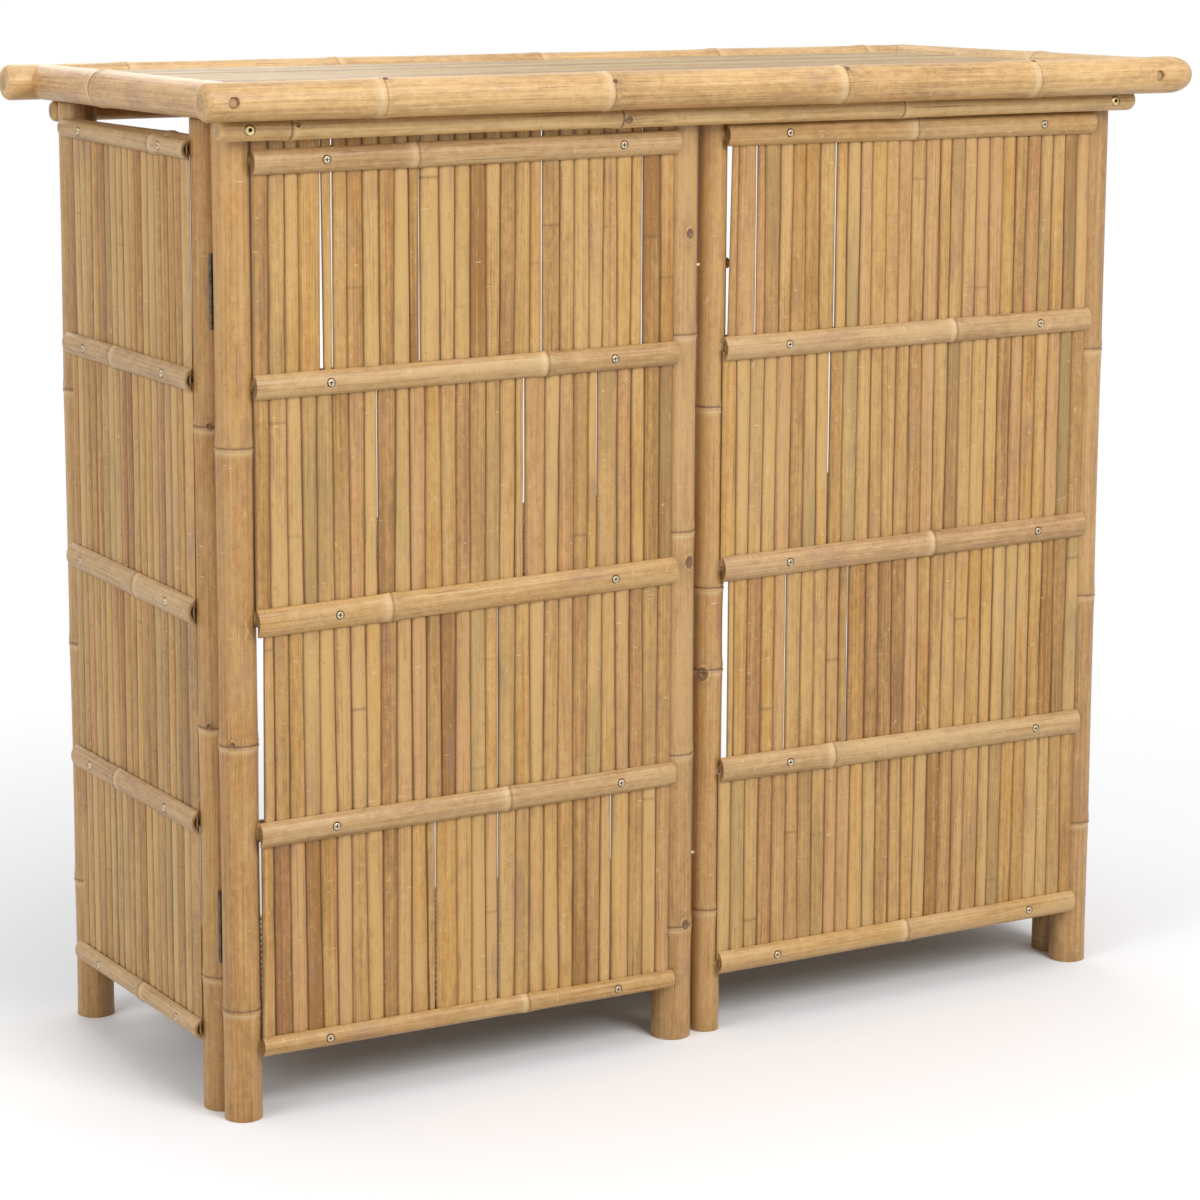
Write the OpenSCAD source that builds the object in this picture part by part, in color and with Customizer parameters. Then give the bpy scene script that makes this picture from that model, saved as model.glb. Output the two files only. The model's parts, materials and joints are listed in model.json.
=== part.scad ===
// Bamboo outdoor bar table: four slatted screen panels under a framed slatted top.
// Millimetres, +Z up. The origin is on the floor, under the middle of the bounding box.
// +X runs along the counter to the right, and the front faces -Y.

/* [Overall] */
// Length of the counter over its long poles
top_length = 1310; // [1200:5:1450]
// Depth of the counter over its front and back poles
top_depth = 545; // [520:5:620]
// Height of the counter rim above the floor
bar_height = 1125; // [1125:5:1180]

/* [Top frame] */
// Radius of the front pole at its thick right end
front_pole_r = 22; // [21:0.5:24]
// Radius of the front pole at its thin left end
front_pole_thin_r = 20.5; // [19:0.5:21]
// Radius of the back pole
back_pole_r = 20.5; // [19:0.5:22]
// Radius of the left side pole
left_pole_r = 20.5; // [19:0.5:22]
// Radius of the right side pole
right_pole_r = 21; // [19:0.5:22]
// Left end of the counter to the axis of the left side pole
left_pole_inset = 48; // [40:1:60]
// Right end of the counter to the axis of the right side pole
right_pole_inset = 59; // [45:1:70]
// How far short of the left end of the counter the front pole stops
front_pole_cut = 19; // [0:1:22]
// How far short of the right end of the counter the back pole stops
back_pole_cut = 36; // [0:1:40]
// Depth of the domed ends of the front and back poles
end_dome = 20; // [8:1:24]
// Radius of the dowels that pin the side poles
dowel_r = 5.5; // [4:0.5:7]
// How far the dowels sit below the surface of the rim poles
dowel_sunk = 5; // [2:0.5:8]
// How far the dowels reach into the side poles
dowel_reach = 40; // [20:1:60]

/* [Counter slats] */
// Number of slats across the counter
top_slat_count = 20; // [16:1:24]
// Thickness of a counter slat
top_slat_thick = 6; // [4:0.5:8]
// How far the slats lie below the top of the rim
top_slat_drop = 10; // [6:0.5:14]
// Gap between the slats and the rim poles
rim_gap = 3; // [1:0.5:5]
// Number of cross poles under the counter slats
top_batten_count = 4; // [3:1:6]
// Radius of the cross poles under the counter slats
top_batten_r = 11; // [8:0.5:13]

/* [Apron poles] */
// Radius of the apron poles under the front and back rims
apron_r = 12.5; // [10:0.5:14]
// How far the axis of the front apron lies below the axis of the front pole
apron_drop = 30.5; // [28:0.5:34]
// From the front of the counter back to the axis of the front apron
apron_inset = 53; // [50:0.5:60]
// How far the front apron reaches past the outer posts at each end
apron_overhang = 32; // [20:1:45]
// How far the back apron reaches past the outer posts at each end
back_apron_overhang = 23; // [15:1:45]
// Depth of the rounded edge at the ends of the aprons
apron_round = 7; // [3:0.5:9]

/* [Panels] */
// Overhang of the counter past the axis of the left outer front post
left_overhang = 82.5; // [78:0.5:110]
// Overhang of the counter past the axis of the right outer front post
right_overhang = 93.5; // [84:0.5:120]
// How far the joint between the front panels lies to the right of the middle of the front
middle_shift = 3.5; // [-10:0.5:10]
// Post axis to post axis across the joint between the two front panels
middle_spacing = 46; // [44:0.5:60]
// From the axis of the back rim pole forward to the axes of the back posts
back_post_inset = 31.5; // [27:0.5:50]
// Radius of the left outer front post
left_post_r = 21; // [19:0.5:23]
// Radius of the right outer front post
right_post_r = 22.3; // [19:0.1:23]
// Radius of the middle post of the left front panel
middle_left_r = 23.2; // [20:0.1:24]
// Radius of the middle post of the right front panel
middle_right_r = 17.6; // [15:0.1:20]
// Radius of the front posts of the side panels
side_front_r = 20.5; // [19:0.5:22]
// Radius of the back posts of the side panels
side_back_r = 22; // [19:0.5:23]
// How far the nodes of the bamboo stand out
node_swell = 1; // [0.6:0.1:1.6]
// Radius of the inner rails behind the slats
inner_rail_r = 12; // [9:0.5:13]
// Height of a usual half-split outer rail
outer_rail_height = 28; // [24:1:30]
// How far the outer rails bulge forward
outer_rail_depth = 8; // [7:0.5:9]
// Wall of the hollow outer rails
outer_rail_wall = 4.5; // [3:0.5:5]
// Height of the inner rails that carry the middle shelf
mid_rail_height = 554; // [545:1:565]
// Axis of the top rails below the top of the counter
top_rail_drop = 84; // [80:1:90]
// Height of the inner rails that carry the bottom shelf
bottom_rail_height = 80; // [76:1:84]

/* [Panel slats] */
// Number of slats in each row of a front panel
front_slat_count = 28; // [24:1:32]
// Number of slats in each row of a side panel
side_slat_count = 19; // [15:1:22]
// From the plane of the post axes out to the back of the slats
slat_stand_off = 18.2; // [17.5:0.1:20]
// Thickness of a panel slat
slat_thick = 4.5; // [3:0.1:5]
// Usual gap between two slats
slat_gap = 0.5; // [0.3:0.1:1.2]
// How far a slat may stray from its even place at either end
slat_stray = 1.6; // [0:0.1:2.5]
// How far the slats of the front panels reach up behind the apron pole
slat_behind_apron = 2; // [0:0.5:6]
// Half of the gap behind each outer rail, between the rows of slats
row_gap_half = 3.5; // [2.5:0.5:5]

/* [Screws and bolts] */
// Radius of the shank of the rail screws
screw_r = 1.5; // [1:0.1:2]
// Thickness of the head of the rail screws
screw_head_thick = 1.6; // [1.2:0.1:2]
// How far the heads of the rail screws lie below the crest of the outer rails
screw_sunk = 0.2; // [0:0.1:1]
// Radius of the head of the rail screws
screw_head_r = 4; // [3:0.1:5]
// Length of the rail screws
screw_length = 26; // [20:1:30]
// Radius of the shank of the bolts
bolt_r = 3; // [2.5:0.1:4]
// Radius of the head of the bolts
bolt_head_r = 5.6; // [4.5:0.1:7]
// Depth of post left behind the ends of the apron bolts
bolt_end_cover = 5; // [2:0.5:12]
// Thickness of the bolt heads
bolt_head_thick = 3; // [2:0.5:4]
// Radius of the nuts over their corners
nut_r = 6; // [5:0.1:8]
// Thickness of the nuts
nut_thick = 5; // [3:0.5:7]
// Heights of the bolts that join the two middle posts
middle_bolt_heights = [900, 215];
// From the outer posts in to the nearest screw of the back apron
apron_screw_inset = 60; // [40:1:120]
// Length of the screws that hold the back apron to the back pole
apron_screw_length = 40; // [30:1:50]
// Length of the screws of the hinge leaves
leaf_screw_length = 12; // [10:0.5:14]

/* [Hinges] */
// Height of each hinge
hinge_height = 80; // [60:1:86]
// Heights of the middle of the hinges
hinge_centres = [900, 211];
// Gap between the two posts at a corner
post_gap = 1.6; // [1.2:0.1:2.2]
// Thickness of a hinge leaf
leaf_thick = 1; // [0.8:0.1:1.5]
// Gap between the closed leaves
leaf_gap = 0.4; // [0.3:0.1:0.8]
// Width of a leaf inward of the line between the two posts
leaf_width = 11; // [8:0.5:14]
// How far the barrel stands outside the line between the two posts
barrel_out = 13; // [10:0.5:16]
// Radius of the barrel
barrel_r = 2.1; // [1.8:0.1:3]
// Radius of the hinge pin
pin_r = 1; // [0.8:0.1:1.4]
// Lean of the corner, from the front post to the side post, in degrees
corner_lean = 7.7; // [0:0.1:15]

/* [Shelves] */
// Thickness of the shelf slats
shelf_slat_thick = 5.7; // [4:0.1:8]
// Number of slats across a shelf
shelf_slat_count = 20; // [16:1:24]
// How far behind the front slats a shelf begins
shelf_front_gap = 2; // [1:0.5:5]
// Gap between the back pole of a shelf and the back posts
shelf_pole_gap = 1; // [0.5:0.5:10]
// Radius of the back pole of a shelf
shelf_pole_r = 13; // [10:0.5:15]
// Radius of the cross poles under a shelf
shelf_batten_r = 9; // [7:0.5:11]
// From the ends of the shelves in to the axes of their outermost cross poles
shelf_batten_inset = 45; // [40:1:80]
// Number of cross poles under a shelf
shelf_batten_count = 5; // [3:1:6]

/* [Hidden] */
$fn = 48;
seat = 0.3;
bore_play = 0.2;
pin_fixed_play = 0.02;
pin_running_play = 0.06;
node_half = 4;
wood_tones = ["#d9b885", "#cfa974", "#c99f68", "#dcbf91", "#c8a674"];

// derived places of the top frame
left_end = -top_length / 2;
right_end = top_length / 2;
rim_z = bar_height - front_pole_r - node_swell;
front_pole_y = -top_depth / 2 + front_pole_r + node_swell;
back_pole_y = top_depth / 2 - back_pole_r - node_swell;
left_pole_x = left_end + left_pole_inset;
right_pole_x = right_end - right_pole_inset;
front_pole_x = left_end + front_pole_cut;
front_pole_length = right_end - front_pole_x;
back_pole_length = top_length - back_pole_cut;
rim_span = back_pole_y - front_pole_y;

// derived places of the counter slats and their cross poles
top_slat_top = bar_height - top_slat_drop;
top_slat_low = top_slat_top - top_slat_thick;
top_batten_z = top_slat_low - seat - top_batten_r;
slat_rise = top_slat_low - rim_z;

// derived places of the front apron: it is bolted to the posts, below and behind the front pole
apron_z = rim_z - apron_drop;
front_slat_top = apron_z - apron_r + slat_behind_apron;
apron_y = -top_depth / 2 + apron_inset;

// derived places of the posts
widest_front_r = max(left_post_r, right_post_r, middle_left_r, middle_right_r);
post_y = apron_y + apron_r + seat + widest_front_r;
left_post_x = left_end + left_overhang;
right_post_x = right_end - right_overhang;
front_width = right_post_x - left_post_x;
middle_left_x = (left_post_x + right_post_x) / 2 + middle_shift - middle_spacing / 2;
middle_right_x = middle_left_x + middle_spacing;
front_post_top = min(rim_z - node_swell, apron_z + apron_r + 4);
side_post_top = rim_z - max(left_pole_r, right_pole_r) - node_swell - 0.5;

// unit direction from a front post to its side post, for the left corner
lean_x = -sin(corner_lean);
lean_y = cos(corner_lean);

// derived places of the side panels, from the corner spacing
left_spacing = left_post_r + post_gap + side_front_r;
right_spacing = right_post_r + post_gap + side_front_r;
left_side_x = left_post_x + lean_x * left_spacing;
left_side_y = post_y + lean_y * left_spacing;
right_side_x = right_post_x - lean_x * right_spacing;
right_side_y = post_y + lean_y * right_spacing;
back_post_y = back_pole_y - back_post_inset;

// the back apron hangs under the back pole, behind the back posts
back_apron_y = back_post_y + side_back_r + node_swell + seat + apron_r;
back_apron_reach = back_pole_r + node_swell + apron_r + seat;
back_apron_z = rim_z - sqrt(pow(back_apron_reach, 2) - pow(back_apron_y - back_pole_y, 2));

// layers of a panel, measured outward from the plane of its post axes
slat_in = slat_stand_off;
inner_rail_out = slat_in - seat - inner_rail_r;
slat_out = slat_in + slat_thick;
rail_in = slat_out + seat;
rail_out = rail_in + outer_rail_depth;

// heights of the five rails of a panel, the second and fourth halfway between their neighbours
top_rail_height = bar_height - top_rail_drop;
rail_heights = [
    top_rail_height, (top_rail_height + mid_rail_height) / 2, mid_rail_height,
    (mid_rail_height + bottom_rail_height) / 2, bottom_rail_height
];

function rail_lines(rises) = [for (i = [0 : 4]) [for (rise = rises[i]) rail_heights[i] + rise]];

// outer rails: height at the left post axis and at the right post axis, or front and back on a side,
// as a rise above or below that rail's own height, since the canes are fixed by eye
left_front_lines = rail_lines([[-5, 0], [3.5, 7.5], [-5, 3], [1, 3], [3, -4]]);
right_front_lines = rail_lines([[6, 4], [7.5, 11.5], [-3, 3], [-2, -7], [4, 1]]);
side_lines = rail_lines([[6, 11], [6.5, 9.5], [0, 6], [5, 4], [10, 5]]);

// height of each outer rail as a share of the usual one, from the top rail down
left_front_shares = [0.96, 0.96, 1.1, 1, 0.75];
right_front_shares = [0.96, 1, 1.06, 1.06, 0.96];
side_shares = [0.75, 0.9, 1.04, 0.93, 0.8];

// screws of each outer rail: distance from the left post axis and from the right post axis
left_front_screws = [[96, 88], [99, 98], [107, 96], [101, 87], [91, 90]];
right_front_screws = [[86, 92], [89, 90], [94, 86], [98, 82], [83, 85]];
side_screws = [[64, 74], [65, 75], [65, 54], [78, 70], [54, 84]];

// wide gaps in each row of slats: place along the panel, width at the bottom, width at the top
left_front_gaps = [
    [[93, 4.6, 1], [106, 1.2, 1.8], [210, 1.6, 1], [361, 1.6, 1.6], [490, 1.8, 1.2]],
    [[158, 1.4, 1.4], [339, 2.6, 1.8], [432, 1.6, 1.4]],
    [[306, 1.2, 1.2]],
    [[227, 1.8, 1.8], [306, 1.8, 1.6], [453, 1.8, 1.6]]
];
right_front_gaps = [
    [[48, 1.6, 1.8], [157, 1.8, 1.8], [305, 1.2, 1]],
    [[152, 1.8, 2.2]],
    [[95, 1.6, 1.6], [183, 1.6, 1.6]],
    [[380, 1.2, 1.2]]
];
side_gaps = [[], [], [], []];

// opening beside the left post in each row: width at the bottom, width at the top
left_front_edges = [[0.8, 0.8], [0.8, 0.8], [7, 9], [2.5, 3.5]];
right_front_edges = [[6.5, 11.5], [1, 1], [11.5, 11.5], [1, 1]];
side_edges = [[0.8, 0.8], [0.8, 0.8], [0.8, 0.8], [0.8, 0.8]];

// heights of the nodes of the posts, and places of the nodes along the poles
left_post_nodes = [122, 415, 735, 935];
middle_left_nodes = [133, 337, 597, 822];
middle_right_nodes = [145, 431, 527, 736];
right_post_nodes = [177, 464, 769];
side_front_nodes = [149, 427, 753];
side_back_nodes = [165, 450, 749];
front_pole_nodes = [201, 476, 781, 1053];
back_pole_nodes = [150, 420, 700, 960, 1190];
left_pole_nodes = [316];
right_pole_nodes = [207];
front_apron_nodes = [82, 482, 859];
back_apron_nodes = [201, 551, 921];
shelf_pole_nodes = [180, 520, 860];

shelf_front_y = post_y - slat_in + shelf_front_gap;
mid_shelf_low = mid_rail_height + inner_rail_r + seat;
bottom_shelf_low = bottom_rail_height + inner_rail_r + seat;
shelf_pole_y = back_post_y - side_back_r - node_swell - shelf_pole_gap - shelf_pole_r;
shelf_back_y = shelf_pole_y + shelf_pole_r;
shelf_left = left_side_x - inner_rail_out;
shelf_right = right_side_x + inner_rail_out;
widest_middle_r = max(middle_left_r, middle_right_r) + node_swell;

// a bamboo pole along +Z, from radius r0 to r1, with raised nodes and rounded ends
function pole_radius(r0, r1, length, z) = r0 + (r1 - r0) * z / length;

module pole(length, r0, r1, nodes, depth, inset) {
    steps = [0 : 22.5 : 90];
    low = [for (a = steps) [r0 - inset + inset * sin(a), depth - depth * cos(a)]];
    high = [for (a = steps) [r1 - inset + inset * cos(a), length - depth + depth * sin(a)]];
    rings = [
        for (n = nodes)
            if (n > depth + node_half + 1 && n < length - depth - node_half - 1)
                for (d = [-node_half, -1.5, 1.5, node_half])
                    [pole_radius(r0, r1, length, n + d) + (abs(d) < node_half ? node_swell : 0), n + d]
    ];
    core_low = inset < r0 ? [[0, 0]] : [];
    core_high = inset < r1 ? [[0, length]] : [];
    rotate_extrude() polygon(concat(core_low, low, rings, high, core_high));
}

module post(r, height, nodes) {
    pole(height, r, r, nodes, 1.5, 1.5);
}

// a pole that lies along +X from the given point
module pole_x(point, length, r0, r1, nodes, depth, inset) {
    translate(point) rotate([0, 90, 0]) pole(length, r0, r1, nodes, depth, inset);
}

// a pole that lies along +Y from the given point
module pole_y(point, length, r, nodes) {
    translate(point) rotate([-90, 0, 0]) pole(length, r, r, nodes, 1, 1);
}

// the straight cylinder round a post or pole, for saddle cuts and bores
module along_x(point, length, r) {
    translate(point) rotate([0, 90, 0]) cylinder(h = length, r = r);
}

module along_y(point, length, r) {
    translate(point) rotate([-90, 0, 0]) cylinder(h = length, r = r);
}

// rim poles and their dowels
module dowel_bores() {
    for (x = [left_pole_x, right_pole_x])
        along_y([x, -top_depth, rim_z], 2 * top_depth, dowel_r + bore_play);
}

module rim_front_solid() {
    pole_x([front_pole_x, front_pole_y, rim_z], front_pole_length, front_pole_thin_r, front_pole_r,
           front_pole_nodes, end_dome, front_pole_thin_r);
}

module rim_back_solid() {
    pole_x([left_end, back_pole_y, rim_z], back_pole_length, back_pole_r, back_pole_r,
           back_pole_nodes, end_dome, back_pole_r);
}

module top_front_pole() {
    color(wood_tones[0]) difference() {
        rim_front_solid();
        for (x = [left_pole_x, right_pole_x])
            along_y([x, -top_depth, rim_z], 2 * top_depth, dowel_r + bore_play);
    }
}

module top_back_pole() {
    color(wood_tones[1]) difference() {
        rim_back_solid();
        dowel_bores();
        for (x = apron_screw_places())
            translate([x, back_apron_y, back_apron_z - apron_r])
                cylinder(h = apron_screw_length + 1, r = screw_r + bore_play);
    }
}

module side_pole(x, r, front_r, nodes) {
    difference() {
        pole_y([x, front_pole_y, rim_z], rim_span, r, nodes);
        along_x([left_end, front_pole_y, rim_z], top_length, front_r + seat);
        along_x([left_end, back_pole_y, rim_z], top_length, back_pole_r + seat);
        along_x([left_end, apron_y, apron_z], top_length, apron_r + seat);
        along_x([left_end, back_apron_y, back_apron_z], top_length, apron_r + seat);
        along_y([x, front_pole_y - 1, rim_z], front_r + dowel_reach + 1, dowel_r + bore_play);
        along_y([x, back_pole_y - back_pole_r - dowel_reach, rim_z], back_pole_r + dowel_reach + 1,
                dowel_r + bore_play);
    }
}

function front_radius_at(x) =
    pole_radius(front_pole_thin_r, front_pole_r, front_pole_length, x - front_pole_x);

module top_left_pole() {
    color(wood_tones[2])
        side_pole(left_pole_x, left_pole_r, front_radius_at(left_pole_x + left_pole_r), left_pole_nodes);
}

module top_right_pole() {
    color(wood_tones[1])
        side_pole(right_pole_x, right_pole_r, front_radius_at(right_pole_x + right_pole_r), right_pole_nodes);
}

module frame_dowels() {
    color(wood_tones[4]) for (x = [left_pole_x, right_pole_x]) {
        r = front_radius_at(x);
        along_y([x, front_pole_y - r + dowel_sunk, rim_z], r - dowel_sunk + dowel_reach - 0.5, dowel_r);
        along_y([x, back_pole_y - back_pole_r - dowel_reach + 0.5, rim_z],
                2 * back_pole_r + dowel_reach - dowel_sunk - 0.5, dowel_r);
    }
}

// counter slats: straight strips along +X, each a little wider or narrower than its neighbours
module top_slats() {
    front_clear = sqrt(pow(front_pole_r + node_swell, 2) - pow(slat_rise, 2));
    back_clear = sqrt(pow(back_pole_r + node_swell, 2) - pow(slat_rise, 2));
    left_clear = sqrt(pow(left_pole_r + node_swell, 2) - pow(slat_rise, 2));
    right_clear = sqrt(pow(right_pole_r + node_swell, 2) - pow(slat_rise, 2));
    y0 = front_pole_y + front_clear + seat;
    y1 = back_pole_y - back_clear - rim_gap;
    x0 = left_pole_x + left_clear + seat;
    x1 = right_pole_x - right_clear - rim_gap;
    pitch = (y1 - y0) / top_slat_count;
    shift = rands(-slat_stray, slat_stray, top_slat_count + 1, 11);
    short = rands(0, 2, top_slat_count, 12);
    color(wood_tones[3]) for (k = [0 : top_slat_count - 1]) {
        ya = y0 + pitch * k + (k == 0 ? 0 : shift[k]) + slat_gap / 2;
        yb = y0 + pitch * (k + 1) + (k == top_slat_count - 1 ? 0 : shift[k + 1]) - slat_gap / 2;
        translate([x0, ya, top_slat_low]) cube([x1 - x0 - short[k], yb - ya, top_slat_thick]);
    }
}

function top_batten_x(k) = left_pole_x + (right_pole_x - left_pole_x) * (k + 0.5) / top_batten_count;

module top_battens() {
    color(wood_tones[4]) for (k = [0 : top_batten_count - 1]) difference() {
        pole_y([top_batten_x(k), front_pole_y, top_batten_z], rim_span, top_batten_r, []);
        along_x([left_end, front_pole_y, rim_z], top_length, front_pole_r + node_swell + seat);
        along_x([left_end, back_pole_y, rim_z], top_length, back_pole_r + node_swell + seat);
    }
}

// aprons, the bolts through the front one into the outer posts, and the screws up through the back one
apron_left = left_post_x - apron_overhang;
apron_length = right_post_x - left_post_x + 2 * apron_overhang;
back_apron_left = left_post_x - back_apron_overhang;
back_apron_length = right_post_x - left_post_x + 2 * back_apron_overhang;
bolt_places = [[left_post_x, left_post_r], [right_post_x, right_post_r]];

function apron_screw_places() = [
    for (k = [0 : 3]) left_post_x + apron_screw_inset + k * (front_width - 2 * apron_screw_inset) / 3
];

module front_apron_pole() {
    color(wood_tones[0]) difference() {
        pole_x([apron_left, apron_y, apron_z], apron_length, apron_r, apron_r, front_apron_nodes,
               apron_round, apron_round);
        for (place = bolt_places) {
            along_y([place[0], apron_y - 2 * apron_r, apron_z], 4 * apron_r, bolt_r + bore_play);
            along_y([place[0], apron_y - 2 * apron_r, apron_z], apron_r + bolt_head_thick,
                    bolt_head_r + bore_play);
        }
    }
}

module back_apron_pole() {
    color(wood_tones[1]) difference() {
        pole_x([back_apron_left, back_apron_y, back_apron_z], back_apron_length, apron_r, apron_r,
               back_apron_nodes, apron_round, apron_round);
        for (x = apron_screw_places()) translate([x, back_apron_y, back_apron_z - 2 * apron_r]) {
            cylinder(h = 4 * apron_r, r = screw_r + bore_play);
            cylinder(h = apron_r + 3, r = screw_head_r + bore_play);
        }
    }
}

module bolt(length) {
    difference() {
        union() {
            cylinder(h = bolt_head_thick, r = bolt_head_r);
            cylinder(h = length, r = bolt_r);
        }
        translate([0, 0, -1]) cylinder(h = bolt_head_thick, r = bolt_r * 0.9, $fn = 6);
    }
}

module nut() {
    difference() {
        cylinder(h = nut_thick, r = nut_r, $fn = 6);
        translate([0, 0, -1]) cylinder(h = nut_thick + 2, r = bolt_r + 0.05);
    }
}

module apron_bolts() {
    color("#b8964e") for (place = bolt_places) {
        start = apron_y - apron_r;
        length = post_y + place[1] - bolt_end_cover - start;
        translate([place[0], start, apron_z]) rotate([-90, 0, 0]) bolt(length);
    }
}

// a countersunk screw along +Z, its cross recess in the head
module screw(length) {
    difference() {
        union() {
            cylinder(h = screw_head_thick, r = screw_head_r);
            cylinder(h = length, r = screw_r);
        }
        for (turn = [0, 90])
            rotate(turn) translate([-2.2, -0.4, -1]) cube([4.4, 0.8, 2]);
    }
}

module apron_screws() {
    color("#9c9a93") for (x = apron_screw_places())
        translate([x, back_apron_y, back_apron_z - apron_r + 1.4]) screw(apron_screw_length - 2);
}

// hinge frame: +X of the frame points outward from the corner, +Y from the front post to the side post
module at_left_corner() {
    translate([left_post_x, post_y, 0]) rotate(corner_lean) mirror([1, 0, 0]) children();
}

module at_right_corner() {
    translate([right_post_x, post_y, 0]) rotate(-corner_lean) children();
}

// flats planed on the two posts, where the leaves sit
module leaf_flat(r, way) {
    reach = r + (post_gap - 2 * leaf_thick - leaf_gap) / 2;
    for (z = hinge_centres)
        translate([-leaf_width - 2, way > 0 ? reach : -reach - 5, z - hinge_height / 2 - 0.5])
            cube([2 * leaf_width + 6, 5, hinge_height + 1]);
}

module leaf_screw_bores(y) {
    for (z = hinge_centres, d = [-0.32, 0, 0.32])
        translate([0, y, z + d * hinge_height]) rotate([-90, 0, 0])
            cylinder(h = leaf_screw_length + 4, r = screw_r + bore_play);
}

module corner_post(r, nodes) {
    post(r, front_post_top, nodes);
}

// fish-mouth cuts in the tops of the outer front posts, under the side poles of the counter
module side_pole_saddle(x, r) {
    along_y([x, -top_depth, rim_z], 2 * top_depth, r + node_swell + seat);
}

module front_post_bolt_bore(r, x) {
    along_y([x, post_y - 2 * r, apron_z], 3 * r - bolt_end_cover + 1, bolt_r + bore_play);
}

module left_front_outer_post() {
    color(wood_tones[0]) difference() {
        translate([left_post_x, post_y, 0]) corner_post(left_post_r, left_post_nodes);
        front_post_bolt_bore(left_post_r, left_post_x);
        side_pole_saddle(left_pole_x, left_pole_r);
        at_left_corner() leaf_flat(left_post_r, 1);
        at_left_corner() leaf_screw_bores(left_post_r - 15);
    }
}

module right_front_outer_post() {
    color(wood_tones[1]) difference() {
        translate([right_post_x, post_y, 0]) corner_post(right_post_r, right_post_nodes);
        front_post_bolt_bore(right_post_r, right_post_x);
        side_pole_saddle(right_pole_x, right_pole_r);
        at_right_corner() leaf_flat(right_post_r, 1);
        at_right_corner() leaf_screw_bores(right_post_r - 15);
    }
}

module middle_bolt_bores() {
    for (z = middle_bolt_heights)
        along_x([middle_left_x - 2 * middle_left_r, post_y, z],
                middle_spacing + 2 * middle_left_r + 2 * middle_right_r, bolt_r + bore_play);
}

module left_front_inner_post() {
    color(wood_tones[3]) difference() {
        translate([middle_left_x, post_y, 0]) post(middle_left_r, front_post_top, middle_left_nodes);
        middle_bolt_bores();
    }
}

module right_front_inner_post() {
    color(wood_tones[1]) difference() {
        translate([middle_right_x, post_y, 0]) post(middle_right_r, front_post_top, middle_right_nodes);
        middle_bolt_bores();
    }
}

module middle_bolts() {
    start = middle_left_x - middle_left_r - bolt_head_thick - seat;
    length = middle_right_x + middle_right_r + seat + nut_thick + 2 - start;
    color("#9c9a93") for (z = middle_bolt_heights)
        translate([start, post_y, z]) rotate([0, 90, 0]) bolt(length);
}

module middle_nuts() {
    color("#9c9a93") for (z = middle_bolt_heights)
        translate([middle_right_x + middle_right_r + seat, post_y, z]) rotate([0, 90, 0]) nut();
}

// A panel is drawn with its left post axis at the origin, its right post axis at x = span, and its
// outside facing -Y. The list holds: span, radius of the left post, radius of the right post, how far
// the outer rails start after the left post axis, how far they and the slats stop before the right one,
// the height where the slats of the top row end, or 0 where they end behind the top rail, and the
// heights of the outer rails as shares of the usual one.
left_front_panel = [
    middle_left_x - left_post_x, left_post_r, middle_left_r, 13, 14, 0, front_slat_top,
    left_front_shares
];
right_front_panel = [
    right_post_x - middle_right_x, middle_right_r, right_post_r, 5, 13.5, 0, front_slat_top,
    right_front_shares
];
left_side_panel = [back_post_y - left_side_y, side_front_r, side_back_r, 2, 15, 19, 0, side_shares];
right_side_panel = [back_post_y - right_side_y, side_front_r, side_back_r, 2, 15, 19, 0, side_shares];

module at_left_front() {
    translate([left_post_x, post_y, 0]) children();
}

module at_right_front() {
    translate([middle_right_x, post_y, 0]) children();
}

// the side panels run back from their front posts, the left one mirrored
module at_left_side() {
    translate([left_side_x, left_side_y, 0]) rotate(90) mirror([0, 1, 0]) children();
}

module at_right_side() {
    translate([right_side_x, right_side_y, 0]) rotate(90) children();
}

function line_at(line, span, x) = line[0] + (line[1] - line[0]) * x / span;

module panel_screw_bores(panel, lines, screws, r, depth) {
    for (i = [0 : 4], side = [0, 1]) {
        x = side == 0 ? screws[i][0] : panel[0] - screws[i][1];
        along_y([x, -rail_out - 1, line_at(lines[i], panel[0], x)], depth, r);
    }
}

// the two inner rails that carry shelves are level with each other round the bar, the rest follow
// their outer rails
function inner_rail_z(lines, i) =
    i == 2 ? mid_rail_height : i == 4 ? bottom_rail_height : (lines[i][0] + lines[i][1]) / 2;

module panel_inner_rails(panel, lines, screws) {
    for (i = [0 : 4]) difference() {
        z = inner_rail_z(lines, i);
        pole_x([0, -inner_rail_out, z], panel[0], inner_rail_r, inner_rail_r, [], 1, 1);
        translate([0, 0, z - 2 * inner_rail_r]) cylinder(h = 4 * inner_rail_r, r = panel[1] + seat);
        translate([panel[0], 0, z - 2 * inner_rail_r]) cylinder(h = 4 * inner_rail_r, r = panel[2] + seat);
        panel_screw_bores(panel, lines, screws, screw_r + bore_play, screw_length + 3);
    }
}

// half-split hollow rail: a slice of a tube, flat side on the slats
module half_rail_profile(height) {
    r = (pow(height / 2, 2) + pow(outer_rail_depth, 2)) / (2 * outer_rail_depth);
    difference() {
        translate([0, r - outer_rail_depth]) difference() {
            circle(r = r);
            circle(r = r - outer_rail_wall);
        }
        translate([-2 * r, 0]) square([4 * r, 4 * r]);
    }
}

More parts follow.
